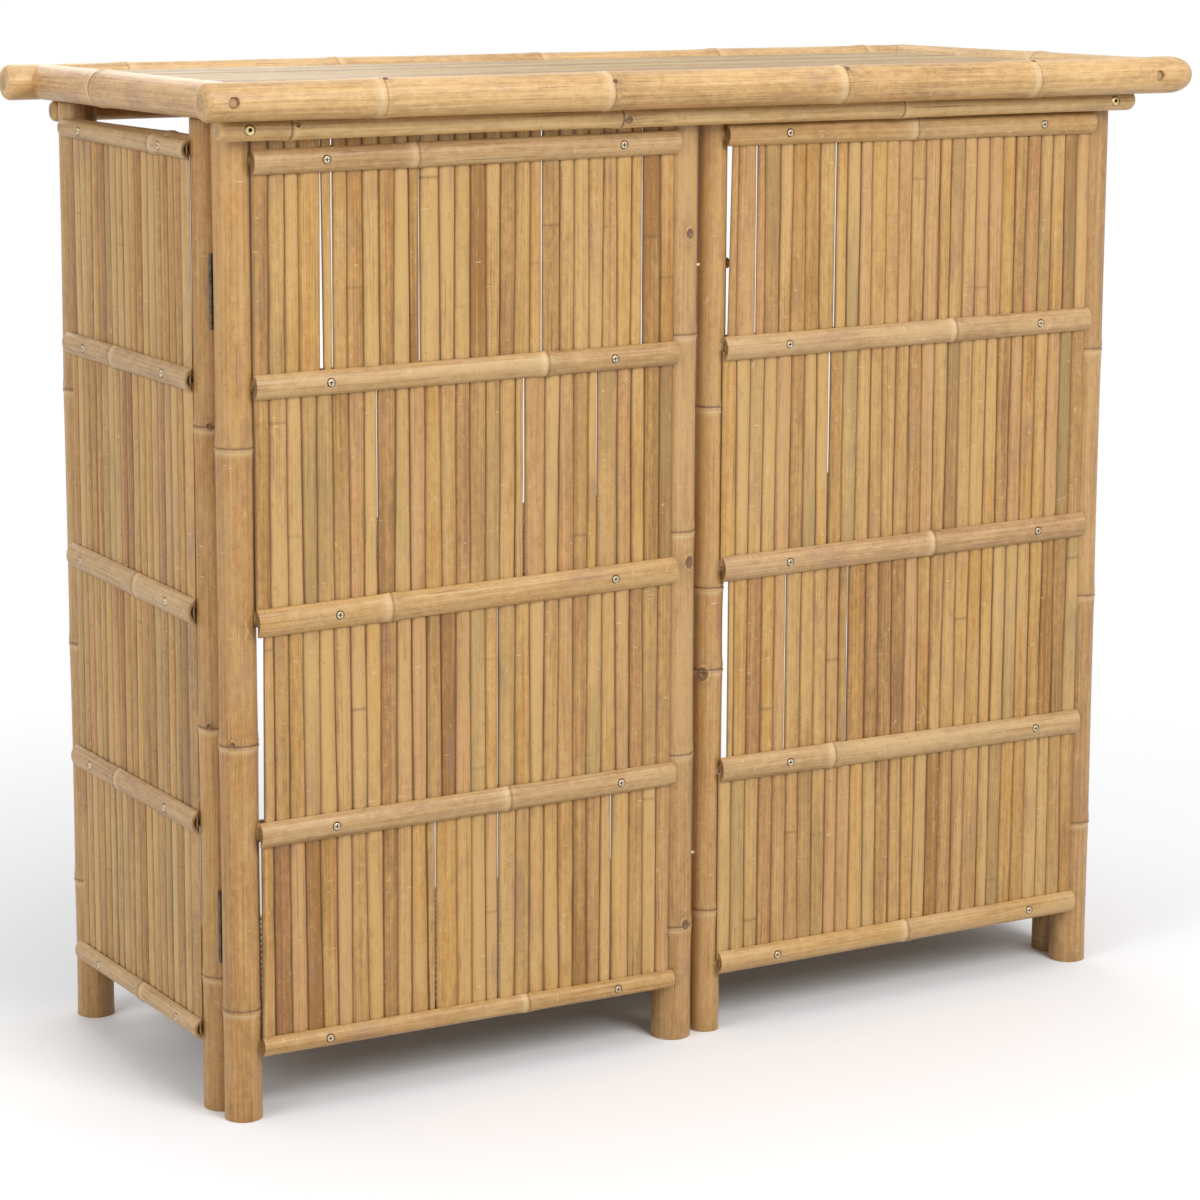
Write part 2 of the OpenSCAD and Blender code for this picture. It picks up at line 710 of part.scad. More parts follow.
module panel_outer_rails(panel, lines, screws) {
    for (i = [0 : 4]) {
        line = lines[i];
        x0 = panel[3];
        x1 = panel[0] - panel[4];
        z0 = line_at(line, panel[0], x0);
        z1 = line_at(line, panel[0], x1);
        tilt = atan2(z1 - z0, x1 - x0);
        length = norm([x1 - x0, z1 - z0]);
        height = outer_rail_height * panel[7][i];
        difference() {
            translate([x0, -rail_in, z0]) rotate([0, -tilt, 0]) rotate([90, 0, 90])
                linear_extrude(height = length) half_rail_section(height);
            translate([0, 0, z0 - height]) cylinder(h = 2 * height, r = panel[1] + node_swell + seat);
            translate([panel[0], 0, z1 - height]) cylinder(h = 2 * height, r = panel[2] + node_swell + seat);
            panel_screw_bores(panel, lines, screws, screw_r + bore_play, rail_out + 2);
            panel_screw_bores(panel, lines, screws, screw_head_r + bore_play,
                              1 + screw_sunk + screw_head_thick + bore_play);
        }
    }
}

// the section with its flat side on the section's own X = 0 line, bulging to -X
module half_rail_section(height) {
    rotate(-90) half_rail_profile(height);
}

module panel_screws(panel, lines, screws) {
    for (i = [0 : 4], side = [0, 1]) {
        x = side == 0 ? screws[i][0] : panel[0] - screws[i][1];
        translate([x, -rail_out + screw_sunk, line_at(lines[i], panel[0], x)])
            rotate([-90, 0, 0]) screw(screw_length);
    }
}

// A boundary between two slats: its place and its gap, at the bottom (end 1) or at the top (end 2) of
// the row. A listed wide gap keeps its own place, the others are even with a small stray.
function wide_gap(gaps, x0, k, pitch) = [for (g = gaps) if (round((g[0] - x0) / pitch) == k) g];

function boundary(gaps, x0, k, pitch, stray) =
    let (wide = wide_gap(gaps, x0, k, pitch)) len(wide) > 0 ? wide[0][0] : x0 + pitch * k + stray;

function gap_at(gaps, x0, k, pitch, end) =
    let (wide = wide_gap(gaps, x0, k, pitch)) len(wide) > 0 ? wide[0][end] : slat_gap;

function upper_end(line, span, x, top) = top > 0 ? top : line_at(line, span, x) - row_gap_half;

// upper ends are level at the height top, or where top is 0 just under the middle of the rail over them
module slat_row(x0, x1, count, span, low_line, high_line, gaps, edge, seed, top) {
    pitch = (x1 - x0) / count;
    low_stray = rands(-slat_stray, slat_stray, count + 1, seed);
    high_stray = rands(-slat_stray, slat_stray, count + 1, seed + 1);
    for (k = [0 : count - 1]) {
        last = k == count - 1;
        la = k == 0 ? x0 + edge[0]
            : boundary(gaps, x0, k, pitch, low_stray[k]) + gap_at(gaps, x0, k, pitch, 1) / 2;
        ha = k == 0 ? x0 + edge[1]
            : boundary(gaps, x0, k, pitch, high_stray[k]) + gap_at(gaps, x0, k, pitch, 2) / 2;
        lb = last ? x1
            : boundary(gaps, x0, k + 1, pitch, low_stray[k + 1]) - gap_at(gaps, x0, k + 1, pitch, 1) / 2;
        hb = last ? x1
            : boundary(gaps, x0, k + 1, pitch, high_stray[k + 1]) - gap_at(gaps, x0, k + 1, pitch, 2) / 2;
        translate([0, -slat_in, 0]) rotate([90, 0, 0]) linear_extrude(height = slat_thick)
            polygon([
                [la, line_at(low_line, span, la) + row_gap_half],
                [lb, line_at(low_line, span, lb) + row_gap_half],
                [hb, upper_end(high_line, span, hb, top)],
                [ha, upper_end(high_line, span, ha, top)]
            ]);
    }
}

// from a post axis to the nearest place where a slat clears the post
function beside_post(r) = sqrt(max(0, pow(r + node_swell, 2) - pow(slat_in, 2))) + seat;

module panel_slats(panel, lines, count, gaps, edges, seed) {
    left_clear = beside_post(panel[1]);
    right_clear = max(panel[5], beside_post(panel[2]));
    for (i = [0 : 3])
        slat_row(left_clear, panel[0] - right_clear, count, panel[0], lines[i + 1], lines[i],
                 gaps[i], edges[i], seed + 10 * i, i == 0 ? panel[6] : 0);
}

module left_front_inner_rails() {
    color(wood_tones[4]) at_left_front()
        panel_inner_rails(left_front_panel, left_front_lines, left_front_screws);
}

module left_front_outer_rails() {
    color(wood_tones[0]) at_left_front()
        panel_outer_rails(left_front_panel, left_front_lines, left_front_screws);
}

module left_front_slats() {
    color(wood_tones[2]) at_left_front() difference() {
        panel_slats(left_front_panel, left_front_lines, front_slat_count, left_front_gaps, left_front_edges,
                    100);
        panel_screw_bores(left_front_panel, left_front_lines, left_front_screws, screw_r + bore_play,
                          screw_length + 3);
    }
}

module left_front_screws() {
    color("#9c9a93") at_left_front()
        panel_screws(left_front_panel, left_front_lines, left_front_screws);
}

module right_front_inner_rails() {
    color(wood_tones[4]) at_right_front()
        panel_inner_rails(right_front_panel, right_front_lines, right_front_screws);
}

module right_front_outer_rails() {
    color(wood_tones[0]) at_right_front()
        panel_outer_rails(right_front_panel, right_front_lines, right_front_screws);
}

module right_front_slats() {
    color(wood_tones[2]) at_right_front() difference() {
        panel_slats(right_front_panel, right_front_lines, front_slat_count, right_front_gaps,
                    right_front_edges, 200);
        panel_screw_bores(right_front_panel, right_front_lines, right_front_screws, screw_r + bore_play,
                          screw_length + 3);
    }
}

module right_front_screws() {
    color("#9c9a93") at_right_front()
        panel_screws(right_front_panel, right_front_lines, right_front_screws);
}

// side panels
module side_post(r, nodes) {
    post(r, side_post_top, nodes);
}

module left_side_front_post() {
    color(wood_tones[1]) difference() {
        translate([left_side_x, left_side_y, 0]) side_post(side_front_r, side_front_nodes);
        at_left_corner() translate([0, left_spacing, 0]) leaf_flat(side_front_r, -1);
        at_left_corner() leaf_screw_bores(left_post_r + post_gap - 1);
    }
}

module right_side_front_post() {
    color(wood_tones[1]) difference() {
        translate([right_side_x, right_side_y, 0]) side_post(side_front_r, side_front_nodes);
        at_right_corner() translate([0, right_spacing, 0]) leaf_flat(side_front_r, -1);
        at_right_corner() leaf_screw_bores(right_post_r + post_gap - 1);
    }
}

module left_side_back_post() {
    color(wood_tones[3]) translate([left_side_x, back_post_y, 0]) side_post(side_back_r, side_back_nodes);
}

module right_side_back_post() {
    color(wood_tones[3]) translate([right_side_x, back_post_y, 0]) side_post(side_back_r, side_back_nodes);
}

module left_side_inner_rails() {
    color(wood_tones[4]) at_left_side() panel_inner_rails(left_side_panel, side_lines, side_screws);
}

module right_side_inner_rails() {
    color(wood_tones[4]) at_right_side() panel_inner_rails(right_side_panel, side_lines, side_screws);
}

module left_side_outer_rails() {
    color(wood_tones[0]) at_left_side() panel_outer_rails(left_side_panel, side_lines, side_screws);
}

module right_side_outer_rails() {
    color(wood_tones[0]) at_right_side() panel_outer_rails(right_side_panel, side_lines, side_screws);
}

module left_side_slats() {
    color(wood_tones[2]) at_left_side()
        panel_slats(left_side_panel, side_lines, side_slat_count, side_gaps, side_edges, 300);
}

module right_side_slats() {
    color(wood_tones[2]) at_right_side()
        panel_slats(right_side_panel, side_lines, side_slat_count, side_gaps, side_edges, 400);
}

module left_side_screws() {
    color("#9c9a93") at_left_side() panel_screws(left_side_panel, side_lines, side_screws);
}

module right_side_screws() {
    color("#9c9a93") at_right_side() panel_screws(right_side_panel, side_lines, side_screws);
}

// Hinges, drawn in the corner frame. The closed leaves lie face to face between the posts and the
// barrel stands in the groove outside, where the front post ends at y = r.
knuckle_play = 0.3;

module leaf(r, way, own_knuckles) {
    middle = r + post_gap / 2;
    near = way < 0 ? middle - leaf_gap / 2 - leaf_thick : middle + leaf_gap / 2;
    third = hinge_height / 3;
    clear_of_barrel = barrel_out - barrel_r - knuckle_play - 0.6;
    for (z = hinge_centres) translate([0, 0, z - hinge_height / 2]) difference() {
        union() {
            translate([-leaf_width, near, 0]) cube([leaf_width + clear_of_barrel, leaf_thick, hinge_height]);
            for (k = own_knuckles) {
                low = k * third + (k == 0 ? 0 : knuckle_play / 2);
                high = (k + 1) * third - (k == 2 ? 0 : knuckle_play / 2);
                translate([clear_of_barrel - 1, near, low])
                    cube([barrel_out - clear_of_barrel + 1, leaf_thick, high - low]);
                translate([barrel_out, middle, low]) cylinder(h = high - low, r = barrel_r);
            }
        }
        translate([barrel_out, middle, -1])
            cylinder(h = hinge_height + 2, r = pin_r + (way < 0 ? pin_fixed_play : pin_running_play));
        for (d = [-0.32, 0, 0.32])
            translate([0, near - 1, hinge_height / 2 + d * hinge_height]) rotate([-90, 0, 0])
                cylinder(h = leaf_thick + 2, r = screw_r + bore_play);
    }
}

module hinge_pins(r) {
    for (z = hinge_centres)
        translate([barrel_out, r + post_gap / 2, z - hinge_height / 2])
            cylinder(h = hinge_height, r = pin_r);
}

// leaf screws: flush with the leaf, 12 mm into the post
module leaf_screws(r, way) {
    middle = r + post_gap / 2;
    face = way < 0 ? middle - leaf_gap / 2 : middle + leaf_gap / 2;
    for (z = hinge_centres, d = [-0.32, 0, 0.32])
        translate([0, face, z + d * hinge_height]) rotate([way < 0 ? 90 : -90, 0, 0])
            cylinder(h = leaf_screw_length, r = screw_r);
}

module left_hinge_fixed_leaves() {
    color("#8d7f6d") at_left_corner() leaf(left_post_r, -1, [0, 2]);
}

module left_hinge_moving_leaves() {
    color("#8d7f6d") at_left_corner() leaf(left_post_r, 1, [1]);
}

module left_hinge_pins() {
    color("#9c9a93") at_left_corner() hinge_pins(left_post_r);
}

module left_fixed_leaf_screws() {
    color("#9c9a93") at_left_corner() leaf_screws(left_post_r, -1);
}

module left_moving_leaf_screws() {
    color("#9c9a93") at_left_corner() leaf_screws(left_post_r, 1);
}

module right_hinge_fixed_leaves() {
    color("#8d7f6d") at_right_corner() leaf(right_post_r, -1, [0, 2]);
}

module right_hinge_moving_leaves() {
    color("#8d7f6d") at_right_corner() leaf(right_post_r, 1, [1]);
}

module right_hinge_pins() {
    color("#9c9a93") at_right_corner() hinge_pins(right_post_r);
}

module right_fixed_leaf_screws() {
    color("#9c9a93") at_right_corner() leaf_screws(right_post_r, -1);
}

module right_moving_leaf_screws() {
    color("#9c9a93") at_right_corner() leaf_screws(right_post_r, 1);
}

// Shelves. A row of slats runs from the left side rail to the right one, and stops short of any post
// that stands in its way.
shelf_clear = 1.5;

function stands_in_row(y, r, ya, yb) =
    ya < y + r + node_swell + shelf_clear && yb > y - r - node_swell - shelf_clear;

function row_left(ya, yb) = max([
    shelf_left,
    stands_in_row(post_y, left_post_r, ya, yb) ? left_post_x + left_post_r + node_swell + shelf_clear : shelf_left,
    stands_in_row(left_side_y, side_front_r, ya, yb)
        ? left_side_x + side_front_r + node_swell + shelf_clear : shelf_left,
    stands_in_row(back_post_y, side_back_r, ya, yb)
        ? left_side_x + side_back_r + node_swell + shelf_clear : shelf_left
]);

function row_right(ya, yb) = min([
    shelf_right,
    stands_in_row(post_y, right_post_r, ya, yb)
        ? right_post_x - right_post_r - node_swell - shelf_clear : shelf_right,
    stands_in_row(right_side_y, side_front_r, ya, yb)
        ? right_side_x - side_front_r - node_swell - shelf_clear : shelf_right,
    stands_in_row(back_post_y, side_back_r, ya, yb)
        ? right_side_x - side_back_r - node_swell - shelf_clear : shelf_right
]);

module shelf_slats(z, seed) {
    pitch = (shelf_back_y - shelf_front_y) / shelf_slat_count;
    shift = rands(-slat_stray, slat_stray, shelf_slat_count + 1, seed);
    for (k = [0 : shelf_slat_count - 1]) {
        ya = shelf_front_y + pitch * k + (k == 0 ? 0 : shift[k]) + 0.6;
        yb = shelf_front_y + pitch * (k + 1) + (k == shelf_slat_count - 1 ? 0 : shift[k + 1]) - 0.6;
        xa = row_left(ya, yb);
        xb = row_right(ya, yb);
        blocked = stands_in_row(post_y, max(middle_left_r, middle_right_r), ya, yb);
        if (blocked) {
            left_stop = middle_left_x - middle_left_r - node_swell - shelf_clear;
            right_start = middle_right_x + middle_right_r + node_swell + shelf_clear;
            translate([xa, ya, z]) cube([left_stop - xa, yb - ya, shelf_slat_thick]);
            translate([right_start, ya, z]) cube([xb - right_start, yb - ya, shelf_slat_thick]);
        } else {
            translate([xa, ya, z]) cube([xb - xa, yb - ya, shelf_slat_thick]);
        }
    }
}

module shelf_back_pole(z) {
    x0 = left_side_x - inner_rail_out + inner_rail_r + seat + 0.1;
    x1 = right_side_x + inner_rail_out - inner_rail_r - seat - 0.1;
    pole_x([x0, shelf_pole_y, z - seat - shelf_pole_r], x1 - x0, shelf_pole_r, shelf_pole_r, [], 1, 1);
}

function shelf_batten_x(k) =
    let (x0 = shelf_left + shelf_batten_inset, x1 = shelf_right - shelf_batten_inset)
    x0 + (x1 - x0) * k / (shelf_batten_count - 1);

// A cross pole under the middle of a shelf stands clear of the two middle posts, because it begins behind
// the front rail.
module shelf_battens(z, rail_z) {
    batten_z = z - seat - shelf_batten_r;
    front_rail_y = post_y - inner_rail_out;
    y0 = front_rail_y + sqrt(pow(inner_rail_r + seat, 2) - pow(batten_z - rail_z, 2));
    for (k = [0 : shelf_batten_count - 1]) {
        x = shelf_batten_x(k);
        middle_x = (middle_left_x + middle_right_x) / 2;
        behind_post = abs(x - middle_x) < middle_spacing / 2 + widest_middle_r + shelf_batten_r;
        start = behind_post ? post_y + widest_middle_r + seat : y0 - 4;
        difference() {
            pole_y([x, start, batten_z], shelf_pole_y - start, shelf_batten_r, []);
            along_x([left_side_x, front_rail_y, rail_z], right_side_x - left_side_x, inner_rail_r + seat);
            along_x([left_side_x, shelf_pole_y, z - seat - shelf_pole_r], right_side_x - left_side_x,
                    shelf_pole_r + seat);
        }
    }
}

module mid_shelf_slats() {
    color(wood_tones[3]) shelf_slats(mid_shelf_low, 500);
}

module mid_shelf_back_pole() {
    color(wood_tones[1]) shelf_back_pole(mid_shelf_low);
}

module mid_shelf_battens() {
    color(wood_tones[4]) shelf_battens(mid_shelf_low, mid_rail_height);
}

module bottom_shelf_slats() {
    color(wood_tones[3]) shelf_slats(bottom_shelf_low, 510);
}

module bottom_shelf_back_pole() {
    color(wood_tones[1]) shelf_back_pole(bottom_shelf_low);
}

module bottom_shelf_battens() {
    color(wood_tones[4]) shelf_battens(bottom_shelf_low, bottom_rail_height);
}

top_front_pole();
top_back_pole();
top_left_pole();
top_right_pole();
frame_dowels();
top_slats();
top_battens();
front_apron_pole();
back_apron_pole();
apron_bolts();
apron_screws();
left_front_outer_post();
left_front_inner_post();
left_front_inner_rails();
left_front_outer_rails();
left_front_slats();
left_front_screws();
right_front_outer_post();
right_front_inner_post();
right_front_inner_rails();
right_front_outer_rails();
right_front_slats();
right_front_screws();
middle_bolts();
middle_nuts();
left_side_front_post();
left_side_back_post();
left_side_inner_rails();
left_side_outer_rails();
left_side_slats();
left_side_screws();
right_side_front_post();
right_side_back_post();
right_side_inner_rails();
right_side_outer_rails();
right_side_slats();
right_side_screws();
left_hinge_fixed_leaves();
left_hinge_moving_leaves();
left_hinge_pins();
left_fixed_leaf_screws();
left_moving_leaf_screws();
right_hinge_fixed_leaves();
right_hinge_moving_leaves();
right_hinge_pins();
right_fixed_leaf_screws();
right_moving_leaf_screws();
mid_shelf_slats();
mid_shelf_back_pole();
mid_shelf_battens();
bottom_shelf_slats();
bottom_shelf_back_pole();
bottom_shelf_battens();
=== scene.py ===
# Looks for a bamboo outdoor bar table: poles, split slats, metal parts, floor, light and camera.

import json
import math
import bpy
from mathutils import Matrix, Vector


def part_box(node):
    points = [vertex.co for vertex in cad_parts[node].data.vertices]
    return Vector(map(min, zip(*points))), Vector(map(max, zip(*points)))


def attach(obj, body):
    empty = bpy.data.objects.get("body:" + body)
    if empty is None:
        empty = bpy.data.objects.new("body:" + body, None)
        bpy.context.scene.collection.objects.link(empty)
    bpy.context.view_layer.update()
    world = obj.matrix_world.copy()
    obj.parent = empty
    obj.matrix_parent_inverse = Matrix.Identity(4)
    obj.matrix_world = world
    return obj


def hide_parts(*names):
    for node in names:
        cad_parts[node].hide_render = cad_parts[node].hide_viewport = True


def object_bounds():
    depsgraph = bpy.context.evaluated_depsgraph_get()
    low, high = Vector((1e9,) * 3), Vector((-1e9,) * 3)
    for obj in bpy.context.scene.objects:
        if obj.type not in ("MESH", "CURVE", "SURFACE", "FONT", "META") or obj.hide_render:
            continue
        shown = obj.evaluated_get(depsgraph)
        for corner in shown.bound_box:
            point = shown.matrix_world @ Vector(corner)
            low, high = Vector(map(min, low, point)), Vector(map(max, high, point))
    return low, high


bl_info = {
    "name": "Bamboo Bar Table",
    "version": (1, 0, 0),
    "blender": (4, 5, 0),
    "location": "3D View > Sidebar > Bar Table",
    "description": "Dresses the bar table in natural bamboo and sets the stage",
    "category": "Object",
}

import zlib

import bpy
import numpy as np

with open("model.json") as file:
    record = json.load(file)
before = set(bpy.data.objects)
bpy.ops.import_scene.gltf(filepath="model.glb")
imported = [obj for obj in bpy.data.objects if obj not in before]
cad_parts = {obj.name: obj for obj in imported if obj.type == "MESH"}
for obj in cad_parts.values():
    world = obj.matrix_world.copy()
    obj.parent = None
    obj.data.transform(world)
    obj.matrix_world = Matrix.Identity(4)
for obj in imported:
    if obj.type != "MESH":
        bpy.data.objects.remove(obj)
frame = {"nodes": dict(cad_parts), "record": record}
CAD_BOX = [[float(c) for c in corner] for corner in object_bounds()]
MM = 0.001
BODY_OF = {n: b for b, ns in frame["record"]["behaviour"]["bodies"].items() for n in ns}
SLOT_OF = {s["node"]: s["material_slot"] for s in frame["record"]["subparts"]}
PANELS = ["left_front", "right_front", "left_side", "right_side"]
UPWARD = np.array([0, 0, 1.0])

# unit directions of a pole's length, and the two that turn round it, right handed
AXES = {
    "x": (np.array([1.0, 0, 0]), np.array([0, 1.0, 0]), UPWARD),
    "y": (np.array([0, 1.0, 0]), UPWARD, np.array([1.0, 0, 0])),
    "z": (UPWARD, np.array([1.0, 0, 0]), np.array([0, 1.0, 0])),
}

# nodes of each culm in millimetres from its low end, as the solids have them
POLE_NODES = {
    "top_front_pole": [201, 476, 781, 1053],
    "top_back_pole": [150, 420, 700, 960, 1190],
    "top_left_pole": [316],
    "top_right_pole": [207],
    "front_apron_pole": [82, 482, 859],
    "back_apron_pole": [201, 551, 921],
    "left_front_outer_post": [122, 415, 735],
    "left_front_inner_post": [133, 337, 597, 822],
    "right_front_inner_post": [145, 431, 527, 736],
    "right_front_outer_post": [177, 464, 769],
    "left_side_front_post": [149, 427, 753],
    "right_side_front_post": [149, 427, 753],
    "left_side_back_post": [165, 450, 749],
    "right_side_back_post": [165, 450, 749],
}

# knots that stand out in the photograph: place from the pole's low end, turn round it and radius, with the
# lengths in millimetres
POLE_KNOTS = {
    "top_front_pole": [(205, 2.0, 3.2), (478, 2.6, 3), (784, 2.2, 3.5), (1050, 2.0, 3)],
    "front_apron_pole": [(486, 3.35, 4.5), (86, 2.9, 2.5)],
    "left_front_inner_post": [(138, 4.88, 5), (564, 5.0, 6.2), (938, 4.86, 5)],
    "right_front_inner_post": [(429, 3.87, 6.6), (736, 5.0, 3)],
    "left_front_outer_post": [(420, 4.0, 3)],
    "left_side_front_post": [(432, 3.9, 3), (757, 4.1, 3)],
}

# longest step between the rings of a mesh, and the shortest on a pole or rail
LONG_STEP = 30 * MM
SHORT_STEP = 0.12 * MM

# where a culm's mesh is cut beside a node, in millimetres
NODE_STEPS = (-16, -9, -5, -2.5, -1.2, 0, 1.2, 2.6, 4, 6.5, 10, 16)
# where it is cut across a knot or a sunk hole, as shares of the knot's or hole's radius
KNOT_STEPS = (-1.8, -1.4, -1.1, -0.85, -0.55, -0.25, 0, 0.25, 0.55, 0.85, 1.1, 1.4, 1.8)
PIT_STEPS = (-1.3, -1.08, -0.94, -0.8, -0.6, -0.3, 0, 0.3, 0.6, 0.8, 0.94, 1.08, 1.3)
# least angle between two points of a culm's ring
LEAST_TURN = 0.012
# angle between two faces from which their edge shows as a crease
CREASE = math.radians(50)
# room left between a coped end and the pole it meets
COPE_GAP = 0.3 * MM

# how far the rounding of each kind of end reaches along the pole
END_DEPTHS = {"flat": 0.8 * MM, "soft": 6 * MM, "blunt": 11 * MM, "dome": 18 * MM, "bullet": 32 * MM}

# share of the width and of the thickness for the points round a split slat, crowned on its outer side
SLAT_SECTION = np.array([
    [0.05, 0.0], [0.95, 0.0], [1.02, 0.18], [0.985, 0.46], [0.91, 0.70], [0.74, 0.89],
    [0.5, 0.97], [0.26, 0.89], [0.09, 0.70], [0.015, 0.46], [-0.02, 0.18],
])
# length of the first and the last step along a slat, and depth of the waves in its edges
SLAT_END_STEP = 1.2 * MM
EDGE_WAVE = 1.1 * MM
# lightness of the pale, the usual and the brown slats, and the share of each
SLAT_LIGHTS = ((0.14, 0.4), (0.4, 0.62), (0.66, 0.95))
SLAT_SHARES = (0.46, 0.36, 0.18)
# distances from a slat's middle line as shares of its width, and the painted shade there, where the slat's
# neighbours shade its edges
EDGE_SHADE_PLACES = (0.33, 0.44, 0.5)
EDGE_SHADE_THERE = (0.0, 0.07, 0.34)

# shares of half a split rail's height for the points of its section, closer together where the screws sit
RAIL_HALF = np.array([0, 0.12, 0.24, 0.29, 0.33, 0.39, 0.46, 0.6, 0.75, 0.88, 0.97, 1])
RAIL_FRONT = np.concatenate([-RAIL_HALF[:0:-1], RAIL_HALF])
RAIL_BACK = np.array([0.86, 0.4, 0, -0.4, -0.86])
# how far back the section hollows between the rail's back edges, as shares of its depth
RAIL_HOLLOW = np.array([0.0, 0.16, 0.22, 0.16, 0.0])
# where a rail's mesh is cut beside its node and its screws, in millimetres
RAIL_NODE_STEPS = (-14, -8, -4, -1.5, 0, 1.5, 3, 5, 8, 14)
RAIL_SCREW_STEPS = (-6, -5.1, -4.6, -4, -2, 0, 2, 4, 4.6, 5.1, 6)
# radius and depth of the dent round a rail's screw
DENT_RADIUS = 5.2 * MM
DENT_DEPTH = 2.4 * MM
# length of a rail's eased ends, how far its open ends run in, and its wall's thickness there
RAIL_EASE = 1.5 * MM
RAIL_BORE = 14 * MM
RAIL_WALL = 3.4 * MM

# rings of a fastener's head from its middle outwards, as shares of its radius, and directions round it in
# degrees, closer together beside the arms of a cross recess
HEAD_RINGS = np.array([0.05, 0.14, 0.24, 0.36, 0.42, 0.47, 0.53, 0.58, 0.68, 0.82, 0.92, 0.97, 1.0])
HEAD_TURNS = np.radians(np.add.outer([0, 90, 180, 270], [-38, -24, -16, -10, -5, 5, 10, 16, 24, 38]).ravel())


def settings():
    return bpy.context.scene.bar_table


def seeded(name):
    return np.random.default_rng(zlib.crc32(name.encode()))


# Meshes

def corners_of(node):
    """Unique points of each separate solid in a CAD node, found by spreading one label over its triangles."""
    mesh = frame["nodes"][node].data
    co = np.empty(len(mesh.vertices) * 3)
    mesh.vertices.foreach_get("co", co)
    mesh.calc_loop_triangles()
    tri = np.empty(len(mesh.loop_triangles) * 3, int)
    mesh.loop_triangles.foreach_get("vertices", tri)
    points, index = np.unique(np.round(co.reshape(-1, 3), 5), axis=0, return_inverse=True)
    tri = index.ravel()[tri].reshape(-1, 3)
    label = np.arange(len(points))
    while True:
        low = label[tri].min(axis=1)
        shared = label.copy()
        for corner in range(3):
            np.minimum.at(shared, tri[:, corner], low)
        if (shared == label).all():
            break
        label = shared
    groups = [points[label == k] for k in np.unique(label)]
    return sorted(groups, key=lambda g: tuple(np.round(g.mean(axis=0), 4)))


def box_of(node):
    """Low corner, high corner and middle of a CAD node's box."""
    low, high = (np.array(c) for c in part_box(node))
    return low, high, (low + high) / 2


def extent(points):
    """Low corner, high corner and middle of the box round some points."""
    low, high = points.min(axis=0), points.max(axis=0)
    return low, high, (low + high) / 2


def grid_faces(rings, around):
    """Quads between each ring of points and the next, the last point of a ring joined to its first."""
    i, j = np.meshgrid(np.arange(rings - 1), np.arange(around), indexing="ij")
    here, after = i * around, (i + 1) * around
    nxt = (j + 1) % around
    return np.stack([here + j, here + nxt, after + nxt, after + j], axis=-1).reshape(-1, 4)


def volume_sign(points, quads):
    """Six times the volume inside the quads, below zero where they face inward."""
    a, b, c, d = (points[quads[:, k]] for k in range(4))
    return np.sum(np.einsum("ij,ij->i", a, np.cross(b, c)) + np.einsum("ij,ij->i", a, np.cross(c, d)))


class Shell:
    """Gathers closed tubes, each a grid of rings, into one mesh with grain and tone on its points."""

    def __init__(self):
        self.points, self.quads, self.caps = [], [], []
        self.grain, self.tone = [], []
        self.count = 0

    def add(self, rings, grain, tone):
        """rings, grain and tone are arrays of (ring, point on the ring, 3). Both ends get a fan to a middle
        point. The tone holds lightness, a mark that is dark above a half and pale below it, and hue. The mark
        also carries painted shade."""
        n, m = rings.shape[:2]
        points = rings.reshape(-1, 3)
        quads = grid_faces(n, m)
        j = np.arange(m)
        nxt = (j + 1) % m
        first = np.stack([nxt, j, np.full(m, n * m)], axis=-1)
        last = np.stack([(n - 1) * m + j, (n - 1) * m + nxt, np.full(m, n * m + 1)], axis=-1)
        caps = np.concatenate([first, last])
        if volume_sign(points, quads) < 0:
            quads, caps = quads[:, ::-1], caps[:, ::-1]
        for kept, grid in ((self.points, rings), (self.grain, grain), (self.tone, tone)):
            middles = np.array([grid[0].mean(axis=0), grid[-1].mean(axis=0)])
            kept.append(np.concatenate([grid.reshape(-1, 3), middles]))
        self.quads.append(quads + self.count)
        self.caps.append(caps + self.count)
        self.count += n * m + 2

    def build(self, name, skin, cut, node):
        """Makes the piece, skin on its sides and cut on its ends, in place of the CAD node."""
        points = np.concatenate(self.points)
        quads, caps = np.concatenate(self.quads), np.concatenate(self.caps)
        mesh = bpy.data.meshes.new(name)
        mesh.vertices.add(len(points))
        mesh.vertices.foreach_set("co", points.ravel())
        corners = np.concatenate([quads.ravel(), caps.ravel()])
        starts = np.concatenate([np.arange(len(quads)) * 4, len(quads) * 4 + np.arange(len(caps)) * 3])
        mesh.loops.add(len(corners))
        mesh.loops.foreach_set("vertex_index", corners)
        mesh.polygons.add(len(starts))
        mesh.polygons.foreach_set("loop_start", starts)
        mesh.materials.append(skin)
        mesh.materials.append(cut)
        mesh.polygons.foreach_set("material_index", np.repeat([0, 1], [len(quads), len(caps)]))
        mesh.polygons.foreach_set("use_smooth", np.ones(len(starts), bool))
        grain = mesh.attributes.new("grain", "FLOAT_VECTOR", "POINT")
        grain.data.foreach_set("vector", np.concatenate(self.grain).ravel())
        tone = np.concatenate(self.tone)
        colour = mesh.attributes.new("tone", "FLOAT_COLOR", "POINT")
        colour.data.foreach_set("color", np.c_[tone, np.ones(len(tone))].ravel())
        mesh.update(calc_edges=True)
        mesh.validate()
        mesh.set_sharp_from_angle(angle=CREASE)
        piece = bpy.data.objects.new(name, mesh)
        bpy.context.scene.collection.objects.link(piece)
        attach(piece, BODY_OF[node])
        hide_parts(node)


def sorted_steps(values, low, high, least):
    """Sorted values between low and high, without any closer together than least."""
    values = np.sort(np.clip(np.asarray(values, float), low, high))
    keep = [values[0]]
    for v in values[1:]:
        if v - keep[-1] > least:
            keep.append(v)
    keep[-1] = high
    return np.array(keep)


def bump(x, width):
    """A smooth hump, 1 at zero and nearly gone at twice the width."""
    return np.exp(-(x / width) ** 2)


